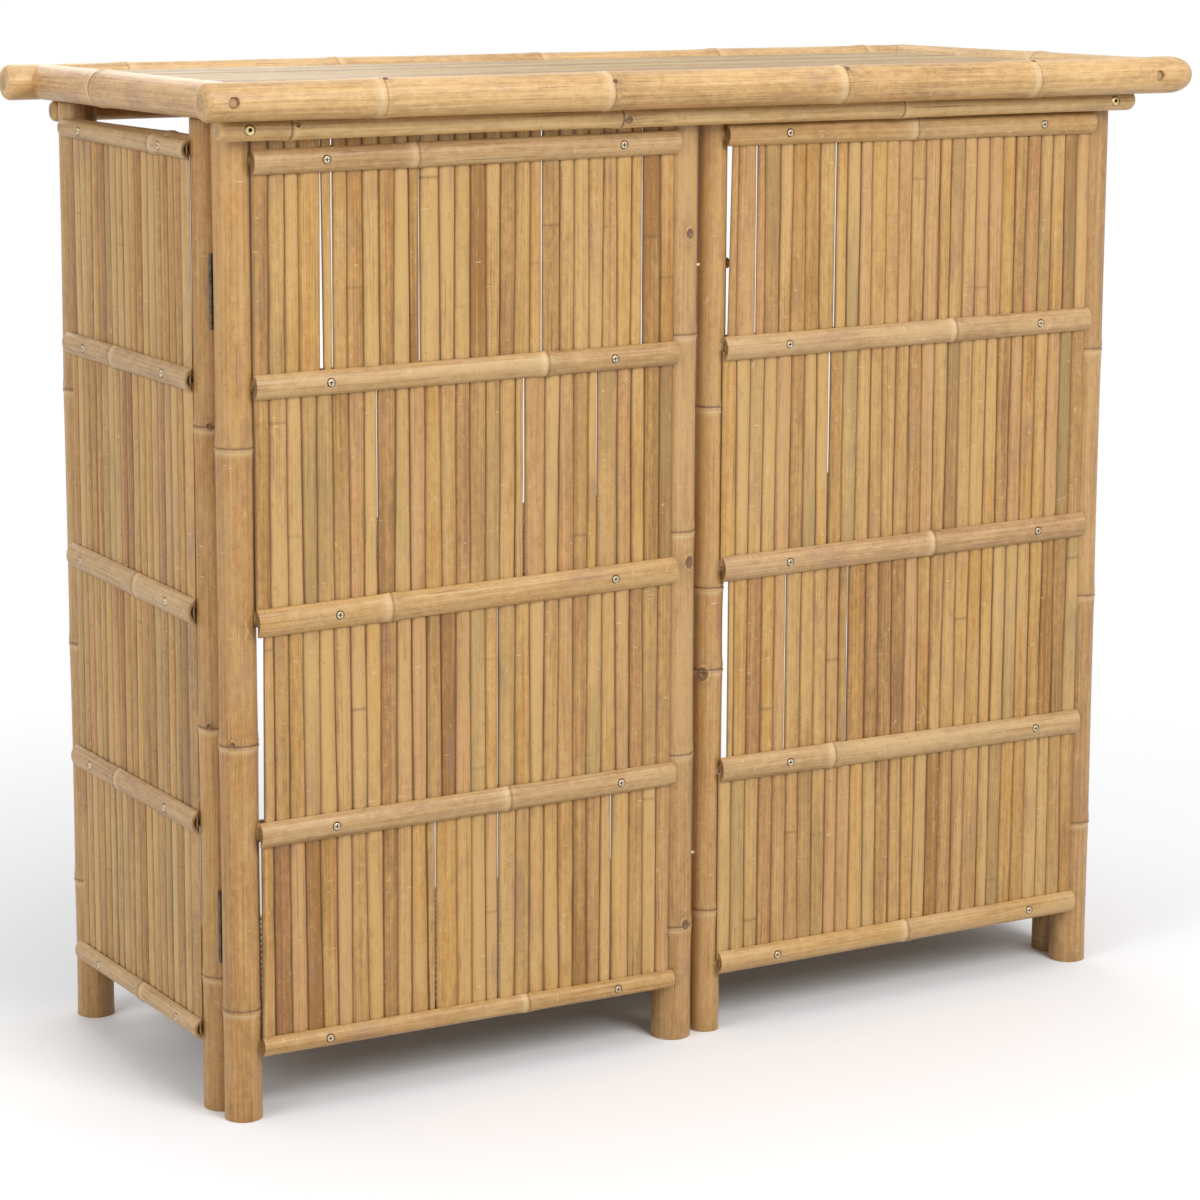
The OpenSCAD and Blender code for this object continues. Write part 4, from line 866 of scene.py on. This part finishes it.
def finish_of(kind):
    """A bamboo finish: the four colours in the settings, each times the finish's own tint."""
    s = settings()
    tint = getattr(s, kind + "_tint")
    colours = {name: [c * t for c, t in zip(getattr(s, name.lower()), tint)]
               for name in ("Pale", "Honey", "Brown", "Grey")}
    return bamboo(kind.capitalize() + " Bamboo", colours, *FINISHES[kind])


# Settings

class BarTableSettings(bpy.types.PropertyGroup):
    pale: bpy.props.FloatVectorProperty(
        name="Pale", description="Lightest colour of the bamboo skin",
        subtype="COLOR", size=3, min=0, max=1, default=(0.71, 0.505, 0.275))
    honey: bpy.props.FloatVectorProperty(
        name="Honey", description="Usual colour of the bamboo skin",
        subtype="COLOR", size=3, min=0, max=1, default=(0.58, 0.375, 0.18))
    brown: bpy.props.FloatVectorProperty(
        name="Brown", description="Darkest streaks of the bamboo skin",
        subtype="COLOR", size=3, min=0, max=1, default=(0.36, 0.205, 0.09))
    grey: bpy.props.FloatVectorProperty(
        name="Grey", description="Colour where the skin has weathered",
        subtype="COLOR", size=3, min=0, max=1, default=(0.45, 0.36, 0.20))
    slat_tint: bpy.props.FloatVectorProperty(
        name="Slat tint", description="Multiplies the bamboo colours on the panel slats",
        subtype="COLOR", size=3, min=0, max=1.5, default=(0.81, 0.715, 0.51))
    post_tint: bpy.props.FloatVectorProperty(
        name="Post tint", description="Multiplies the bamboo colours on the posts",
        subtype="COLOR", size=3, min=0, max=1.5, default=(0.75, 0.645, 0.50))
    rim_tint: bpy.props.FloatVectorProperty(
        name="Rim tint", description="Multiplies the bamboo colours on the rim and apron poles",
        subtype="COLOR", size=3, min=0, max=1.5, default=(1.02, 0.98, 0.82))
    rail_tint: bpy.props.FloatVectorProperty(
        name="Rail tint", description="Multiplies the bamboo colours on the split rails",
        subtype="COLOR", size=3, min=0, max=1.5, default=(0.80, 0.75, 0.66))
    # the counter tint is greyer for the weathered top and, in part, as a painted sheen: the pale grazing sheen
    # of the top put into its colour
    counter_tint: bpy.props.FloatVectorProperty(
        name="Counter tint", description="Multiplies the bamboo colours on the counter and shelves",
        subtype="COLOR", size=3, min=0, max=1.5, default=(0.67, 0.69, 0.63))
    plain_tint: bpy.props.FloatVectorProperty(
        name="Plain tint", description="Multiplies the bamboo colours on the hidden poles",
        subtype="COLOR", size=3, min=0, max=1.5, default=(0.78, 0.70, 0.58))
    node_swell: bpy.props.FloatProperty(
        name="Node swell", description="How far the nodes stand out of a culm in the solids",
        subtype="DISTANCE", unit="LENGTH", default=0.001)
    front_thin: bpy.props.FloatProperty(
        name="Front pole, thin end", description="Radius of the front pole at its left end",
        subtype="DISTANCE", unit="LENGTH", default=0.0205)
    front_thick: bpy.props.FloatProperty(
        name="Front pole, thick end", description="Radius of the front pole at its right end",
        subtype="DISTANCE", unit="LENGTH", default=0.022)
    dowel_pit: bpy.props.FloatProperty(
        name="Dowel hole", description="Radius of the holes over the sunk dowels",
        subtype="DISTANCE", unit="LENGTH", default=0.0058)
    bolt_pit: bpy.props.FloatProperty(
        name="Bolt hole", description="Radius of the counterbores over the apron bolts",
        subtype="DISTANCE", unit="LENGTH", default=0.006)
    screw_head: bpy.props.FloatProperty(
        name="Screw head", description="Radius of the heads of the rail screws",
        subtype="DISTANCE", unit="LENGTH", default=0.004)
    bolt_head: bpy.props.FloatProperty(
        name="Bolt head", description="Radius of the heads of the apron bolts",
        subtype="DISTANCE", unit="LENGTH", default=0.0056)
    scribe: bpy.props.FloatProperty(
        name="Scribe", description="How far a side panel's first slat leans out to its post",
        subtype="DISTANCE", unit="LENGTH", default=0.018)
    light: bpy.props.FloatProperty(
        name="Light", description="Strength of all the lamps together", default=1.0, min=0.1, max=4)


# Pieces

def culm_piece(node, name, axis, finish, **more):
    """One culm in the box of a CAD node, as thick as the solid is between its nodes."""
    low, high, start = box_of(node)
    k = "xyz".index(axis)
    radius = min(np.delete(high - low, k)) / 2 - settings().node_swell
    start[k] = low[k]
    shell = Shell()
    pole(shell, node, axis, start, high[k] - low[k], radius, radius, nodes=POLE_NODES[node],
         knots=POLE_KNOTS.get(node, ()), **more)
    shell.build(name, finish_of(finish), sawn_end(), node)


def culm_pieces(node, name, axis, finish, spacing):
    """One culm for each separate solid of a CAD node, in that solid's own box, with a node at each spacing in
    millimetres."""
    k = "xyz".index(axis)
    shell = Shell()
    for number, points in enumerate(corners_of(node)):
        low, high, start = extent(points)
        start[k] = low[k]
        length = high[k] - low[k]
        radius = min(np.delete(high - low, k)) / 2
        first = seeded(node + str(number) + "nodes").uniform(0.3, 0.9) * spacing
        nodes = list(first + np.arange(int(length / MM / spacing)) * spacing)
        pole(shell, node + str(number), axis, start, length, radius, radius, nodes=nodes, around=24)
    shell.build(name, finish_of(finish), sawn_end(), node)


def flat_slats(node, name):
    """Slats along X, crowned upward, in the boxes of a CAD node's solids."""
    shell = Shell()
    rng = seeded(node)
    for points in corners_of(node):
        low, high, _ = extent(points)
        corners = [np.array([x, y, low[2]]) for x in (low[0], high[0]) for y in (high[1], low[1])]
        slat(shell, rng, *corners, UPWARD, high[2] - low[2], rng.uniform(0.94, 1.0))
    shell.build(name, finish_of("counter"), sawn_end(), node)


def fastener_set(node, name, inward, finish, head_r, thick, shank_r, recess):
    """One fastener for each separate solid of a CAD node, its head at that solid's outer end."""
    shell = Shell()
    inward = np.asarray(inward, float)
    deep = int(np.argmax(np.abs(inward)))
    for points in corners_of(node):
        low, high, place = extent(points)
        place[deep] = low[deep] if inward[deep] > 0 else high[deep]
        fastener(shell, place, inward, head_r, thick, shank_r, high[deep] - low[deep], recess)
    shell.build(name, finish, finish, node)


def long_rim_pole(node, name, y, z, r0, r1, facing, ends, worn, pin_places):
    """The front or the back pole of the rim, with a hole over each dowel in the side that faces along Y. The
    front pole grew from left to right and the back pole from right to left."""
    low, high, _ = box_of(node)
    pits = [(x - low[0], (0, facing, 0), settings().dowel_pit) for x in pin_places]
    shell = Shell()
    pole(shell, node, "x", (low[0], y, z), high[0] - low[0], r0, r1, nodes=POLE_NODES[node], grow=-facing,
         ends=ends, pits=pits, pit_depth=5.6 * MM, knots=POLE_KNOTS.get(node, ()), around=56, worn=worn)
    shell.build(name, finish_of("rim"), sawn_end(), node)


def panel_directions(panel):
    """Axis numbers across the panel and through it, and the unit direction outward from it."""
    if panel.endswith("front"):
        return 0, 1, np.array([0, -1.0, 0])
    return 1, 0, np.array([-1.0 if panel.startswith("left") else 1.0, 0, 0])


def back_of(points, deep, outward):
    """Where the back face of some points lies along the axis through a panel."""
    return points[:, deep].max() if outward[deep] < 0 else points[:, deep].min()


class BAR_OT_rim_poles(bpy.types.Operator):
    """Rim of the counter: the front and back poles with domed ends, and the side poles coped between them."""
    bl_idname = "bar.rim_poles"
    bl_label = "Rim poles"

    def execute(self, context):
        s = settings()
        dowels = corners_of("frame_dowels")
        side_places = sorted({round(float(d[:, 0].mean()), 4) for d in dowels})
        rim_z = CAD_BOX[1][2] - s.front_thick - s.node_swell
        front_y = box_of("top_front_pole")[0][1] + s.front_thick + s.node_swell
        back_low, back_high, back_middle = box_of("top_back_pole")
        back_r = (back_high[1] - back_low[1]) / 2 - s.node_swell
        back_y = back_middle[1]
        long_rim_pole("top_front_pole", "front_pole_culm", front_y, rim_z, s.front_thin, s.front_thick, -1,
                      ("blunt", "bullet"), 1.0, side_places)
        long_rim_pole("top_back_pole", "back_pole_culm", back_y, rim_z, back_r, back_r, 1,
                      ("blunt", "dome"), 0.8, side_places)
        # side poles: place along X, radius of the front pole there, and hue
        for node, x, front_r, hue in (
            ("top_left_pole", side_places[0], s.front_thin, 0.14),
            ("top_right_pole", side_places[1], s.front_thick, 0.4),
        ):
            low, high, _ = box_of(node)
            radius = (high[0] - low[0]) / 2 - s.node_swell
            start = (x, front_y, rim_z)
            saddle = [(front_r + COPE_GAP, start), (back_r + COPE_GAP, (x, back_y, rim_z))]
            shell = Shell()
            pole(shell, node, "y", start, back_y - front_y, radius, radius, nodes=POLE_NODES[node], grow=-1,
                 around=48, worn=0.5, hue=hue, saddle=saddle)
            shell.build(node + "_culm", finish_of("rim"), sawn_end(), node)
        shell = Shell()
        for number, points in enumerate(dowels):
            low, high, start = extent(points)
            start[1] = low[1]
            radius = (high[0] - low[0]) / 2
            pole(shell, "dowel" + str(number), "y", start, high[1] - low[1], radius, radius, around=24)
        shell.build("dowel_pins", finish_of("plain"), sawn_end(), "frame_dowels")
        return {"FINISHED"}


class BAR_OT_counter(bpy.types.Operator):
    """Surface of the counter: split slats along the bar and the cross poles that carry them."""
    bl_idname = "bar.counter"
    bl_label = "Counter slats"

    def execute(self, context):
        flat_slats("top_slats", "counter_slats")
        culm_pieces("top_battens", "counter_cross_poles", "y", "plain", 190)
        return {"FINISHED"}


class BAR_OT_aprons(bpy.types.Operator):
    """Poles under the front and back rims, with the counterbores over the bolts."""
    bl_idname = "bar.aprons"
    bl_label = "Apron poles"

    def execute(self, context):
        left_end = box_of("front_apron_pole")[0][0]
        bolts = sorted(float(b[:, 0].mean()) for b in corners_of("apron_bolts"))
        pits = [(x - left_end, (0, -1, 0), settings().bolt_pit) for x in bolts]
        ends = ("soft", "soft")
        culm_piece("front_apron_pole", "front_apron_culm", "x", "rim", ends=ends, grow=-1, pits=pits,
                   pit_depth=3.3 * MM, worn=0.3)
        culm_piece("back_apron_pole", "back_apron_culm", "x", "rim", ends=ends)
        return {"FINISHED"}


class BAR_OT_posts(bpy.types.Operator):
    """The eight upright posts, each with its own nodes and knots. The two in the middle are paler."""
    bl_idname = "bar.posts"
    bl_label = "Posts"

    def execute(self, context):
        for node in POLE_NODES:
            if node.endswith("post"):
                culm_piece(node, node + "_culm", "z", "post", bend=0.5 * MM,
                           fair=0.14 if node.endswith("inner_post") else 0.0)
        return {"FINISHED"}


class BAR_OT_inner_rails(bpy.types.Operator):
    """Round rails between the posts, behind the slats."""
    bl_idname = "bar.inner_rails"
    bl_label = "Inner rails"

    def execute(self, context):
        for panel in PANELS:
            axis = "x" if panel.endswith("front") else "y"
            culm_pieces(panel + "_inner_rails", panel + "_back_rails", axis, "plain", 230)
        return {"FINISHED"}


class BAR_OT_outer_rails(bpy.types.Operator):
    """Half-split rails clamped over the slats, with the screw holes sunk in them."""
    bl_idname = "bar.outer_rails"
    bl_label = "Split rails"

    def execute(self, context):
        for panel in PANELS:
            across, deep, outward = panel_directions(panel)
            node = panel + "_outer_rails"
            screws = [s.mean(axis=0) for s in corners_of(panel + "_screws")]
            shell = Shell()
            for number, points in enumerate(corners_of(node)):
                ends = []
                for place in (points[:, across].min(), points[:, across].max()):
                    near = points[np.abs(points[:, across] - place) < 3 * MM]
                    end = np.zeros(3)
                    end[across] = place
                    end[deep] = back_of(near, deep, outward)
                    end[2] = (near[:, 2].min() + near[:, 2].max()) / 2
                    ends.append(end)
                low, high = ends
                along = (high - low) / np.linalg.norm(high - low)
                up = UPWARD - along * along[2]
                up /= np.linalg.norm(up)
                height, depth = np.ptp(points @ up), np.ptp(points[:, deep])
                own = [((p - low) @ along, (p - low) @ up) for p in screws]
                own = [(s, level) for s, level in own if abs(level) < height / 2]
                split_rail(shell, node + str(number), low, high, up, outward, height, depth, own)
            shell.build(panel + "_split_rails", finish_of("rail"), sawn_end(), node)
        return {"FINISHED"}


class BAR_OT_panel_slats(bpy.types.Operator):
    """The upright split slats of the four panels, each with its own tone and crown. The first slat of a side
    panel is scribed to its front post."""
    bl_idname = "bar.panel_slats"
    bl_label = "Panel slats"

    def execute(self, context):
        for panel in PANELS:
            across, deep, outward = panel_directions(panel)
            node = panel + "_slats"
            is_side = panel.endswith("side")
            beside_post = box_of(panel + "_front_post")[2][1] + 25 * MM if is_side else -math.inf
            rng = seeded(node)
            shell = Shell()
            for points in corners_of(node):
                back = back_of(points, deep, outward)
                face = points[np.abs(points[:, deep] - back) < 0.1 * MM]
                face = face[np.argsort(face[:, 2])]
                low = face[:2][np.argsort(face[:2, across])]
                high = face[-2:][np.argsort(face[-2:, across])]
                lean = settings().scribe if low[0][across] < beside_post else 0.0
                slat(shell, rng, *low, *high, outward, np.ptp(points[:, deep]), rng.uniform(0.86, 1.0), lean)
            shell.build(panel + "_split_slats", finish_of("slat"), sawn_end(), node)
        return {"FINISHED"}


class BAR_OT_shelves(bpy.types.Operator):
    """Both shelves: slats, back poles and cross poles."""
    bl_idname = "bar.shelves"
    bl_label = "Shelves"

    def execute(self, context):
        for shelf in ("mid_shelf", "bottom_shelf"):
            flat_slats(shelf + "_slats", shelf + "_strips")
            culm_pieces(shelf + "_back_pole", shelf + "_rear_culm", "x", "post", 300)
            culm_pieces(shelf + "_battens", shelf + "_cross_poles", "y", "plain", 210)
        return {"FINISHED"}


class BAR_OT_metal_parts(bpy.types.Operator):
    """Rail screws and apron bolts with their recesses, and finishes for the hinges and the hidden bolts."""
    bl_idname = "bar.metal_parts"
    bl_label = "Metal parts"

    def execute(self, context):
        finishes = {slot: metal(*values) for slot, values in METALS.items()}
        s = settings()
        for panel in PANELS:
            fastener_set(panel + "_screws", panel + "_rail_screws", -panel_directions(panel)[2],
                         finishes["screw_steel"], s.screw_head, 1.6 * MM, 1.5 * MM, "cross")
        fastener_set("apron_bolts", "socket_bolts", (0, 1, 0), finishes["brass_bolt"], s.bolt_head, 3 * MM,
                     3 * MM, "socket")
        replaced = {panel + "_screws" for panel in PANELS} | {"apron_bolts"}
        for node, slot in SLOT_OF.items():
            if slot in finishes and node not in replaced:
                mesh = frame["nodes"][node].data
                mesh.materials.clear()
                mesh.materials.append(finishes[slot])
        return {"FINISHED"}


# Stage

def seen_directly(tree):
    """1 for rays from the camera and for those that glossy or clear surfaces send on, 0 for all others."""
    rays = tree.nodes.new("ShaderNodeLightPath").outputs
    seen = math_node(tree, "MAXIMUM", rays["Is Camera Ray"], rays["Is Glossy Ray"])
    return math_node(tree, "MAXIMUM", seen, rays["Is Transmission Ray"])


def mix_shaders(tree, factor, first, second, out):
    """Mixes two shader nodes by a factor into an output node."""
    mix = tree.nodes.new("ShaderNodeMixShader")
    tree.links.new(factor, mix.inputs[0])
    tree.links.new(first.outputs[0], mix.inputs[1])
    tree.links.new(second.outputs[0], mix.inputs[2])
    tree.links.new(mix.outputs[0], out.inputs[0])


def floor_finish():
    """Near-white floor that keeps the shadow and fades to plain white a little way out."""
    material = bpy.data.materials.new("Pale Floor")
    material.use_nodes = True
    tree = material.node_tree
    tree.nodes.clear()
    out = tree.nodes.new("ShaderNodeOutputMaterial")
    matt = tree.nodes.new("ShaderNodeBsdfDiffuse")
    white = value_node(tree, "ShaderNodeEmission", Color=(1, 1, 1, 1))
    far = tree.nodes.new("ShaderNodeVectorMath")
    far.operation = "LENGTH"
    tree.links.new(tree.nodes.new("ShaderNodeTexCoord").outputs["Object"], far.inputs[0])
    fade = spread(tree, far.outputs["Value"], 0.75, 1.7)
    seen = seen_directly(tree)
    tree.links.new(mix_colour(tree, seen, (0.6, 0.6, 0.6, 1), (0.93, 0.94, 0.96, 1)), matt.inputs["Color"])
    mix_shaders(tree, times(tree, fade, seen), matt, white, out)
    return material


def studio_world(scene):
    """White behind the object, and a softer white that lights it."""
    world = bpy.data.worlds.new("Studio")
    scene.world = world
    world.use_nodes = True
    tree = world.node_tree
    tree.nodes.clear()
    out = tree.nodes.new("ShaderNodeOutputWorld")
    room = value_node(tree, "ShaderNodeBackground", Color=(1, 1, 1, 1), Strength=0.54)
    white = value_node(tree, "ShaderNodeBackground", Color=(1, 1, 1, 1), Strength=1.0)
    mix_shaders(tree, seen_directly(tree), room, white, out)


# place, aim, width and power of each lamp
LAMPS = {
    "key": ((0.6, -3.9, 3.2), (0, 0, 0.8), 2.6, 134),
    "left_fill": ((-4.4, -1.2, 2.6), (0, 0, 0.7), 2.6, 74),
    "overhead": ((0.2, 0.6, 4.4), (0, 0, 0.6), 3.6, 30),
    "back_fill": ((0.8, 4.8, 2.4), (0, 0, 0.6), 3.0, 60),
}


def add_lamp(name, place, aim, size, power):
    """A round soft lamp at a place, turned to face the aim."""
    data = bpy.data.lights.new(name, "AREA")
    data.shape = "DISK"
    data.size = size
    data.energy = power
    lamp = bpy.data.objects.new(name, data)
    bpy.context.scene.collection.objects.link(lamp)
    way = np.array(aim, float) - np.array(place, float)
    tilt = math.atan2(math.hypot(way[0], way[1]), -way[2])
    lamp.location = place
    lamp.rotation_euler = (tilt, 0, math.atan2(way[1], way[0]) - math.pi / 2)


def place_camera(scene):
    """Camera at the photograph's angle: east of north by the heading, tilted down by the pitch."""
    data = bpy.data.cameras.new("camera")
    camera = bpy.data.objects.new("camera", data)
    scene.collection.objects.link(camera)
    heading, pitch = 0.5159, 0.1608
    camera.location = (-2.009, -3.308, 1.283)
    camera.rotation_euler = (math.pi / 2 - pitch, 0, -heading)
    data.lens = 99.0
    data.sensor_width = 36
    data.shift_x = 0.073
    data.shift_y = -0.12
    scene.camera = camera


class BAR_OT_stage(bpy.types.Operator):
    """Pale floor, soft studio light and the camera."""
    bl_idname = "bar.stage"
    bl_label = "Stage"

    def execute(self, context):
        scene = context.scene
        sides, reach = 96, 30
        angle = np.linspace(0, 2 * math.pi, sides, endpoint=False)
        ring = np.stack([reach * np.cos(angle), reach * np.sin(angle), np.zeros(sides)], axis=-1)
        floor_mesh = bpy.data.meshes.new("floor")
        floor_mesh.from_pydata(ring.tolist(), [], [list(range(sides))])
        floor_mesh.materials.append(floor_finish())
        floor = bpy.data.objects.new("floor", floor_mesh)
        scene.collection.objects.link(floor)
        for name, (place, aim, size, power) in LAMPS.items():
            add_lamp(name, place, aim, size, power * settings().light)
        studio_world(scene)
        place_camera(scene)
        scene.view_settings.view_transform = "Standard"
        return {"FINISHED"}


# Add-on

STEPS = [
    BAR_OT_rim_poles, BAR_OT_counter, BAR_OT_aprons, BAR_OT_posts, BAR_OT_inner_rails, BAR_OT_outer_rails,
    BAR_OT_panel_slats, BAR_OT_shelves, BAR_OT_metal_parts, BAR_OT_stage,
]


class BAR_PT_sidebar(bpy.types.Panel):
    """The settings, and a button for each group of pieces."""
    bl_idname = "BAR_PT_sidebar"
    bl_label = "Bar Table"
    bl_space_type = "VIEW_3D"
    bl_region_type = "UI"
    bl_category = "Bar Table"

    def draw(self, context):
        for name in BarTableSettings.__annotations__:
            self.layout.prop(context.scene.bar_table, name)
        for step in STEPS:
            self.layout.operator(step.bl_idname)


CLASSES = [BarTableSettings, *STEPS, BAR_PT_sidebar]


def register():
    for cls in CLASSES:
        bpy.utils.register_class(cls)
    bpy.types.Scene.bar_table = bpy.props.PointerProperty(type=BarTableSettings)


def unregister():
    del bpy.types.Scene.bar_table
    for cls in reversed(CLASSES):
        bpy.utils.unregister_class(cls)


def main():
    register()
    for step in STEPS:
        group, name = step.bl_idname.split(".")
        getattr(getattr(bpy.ops, group), name)()


if __name__ == "__main__":
    main()
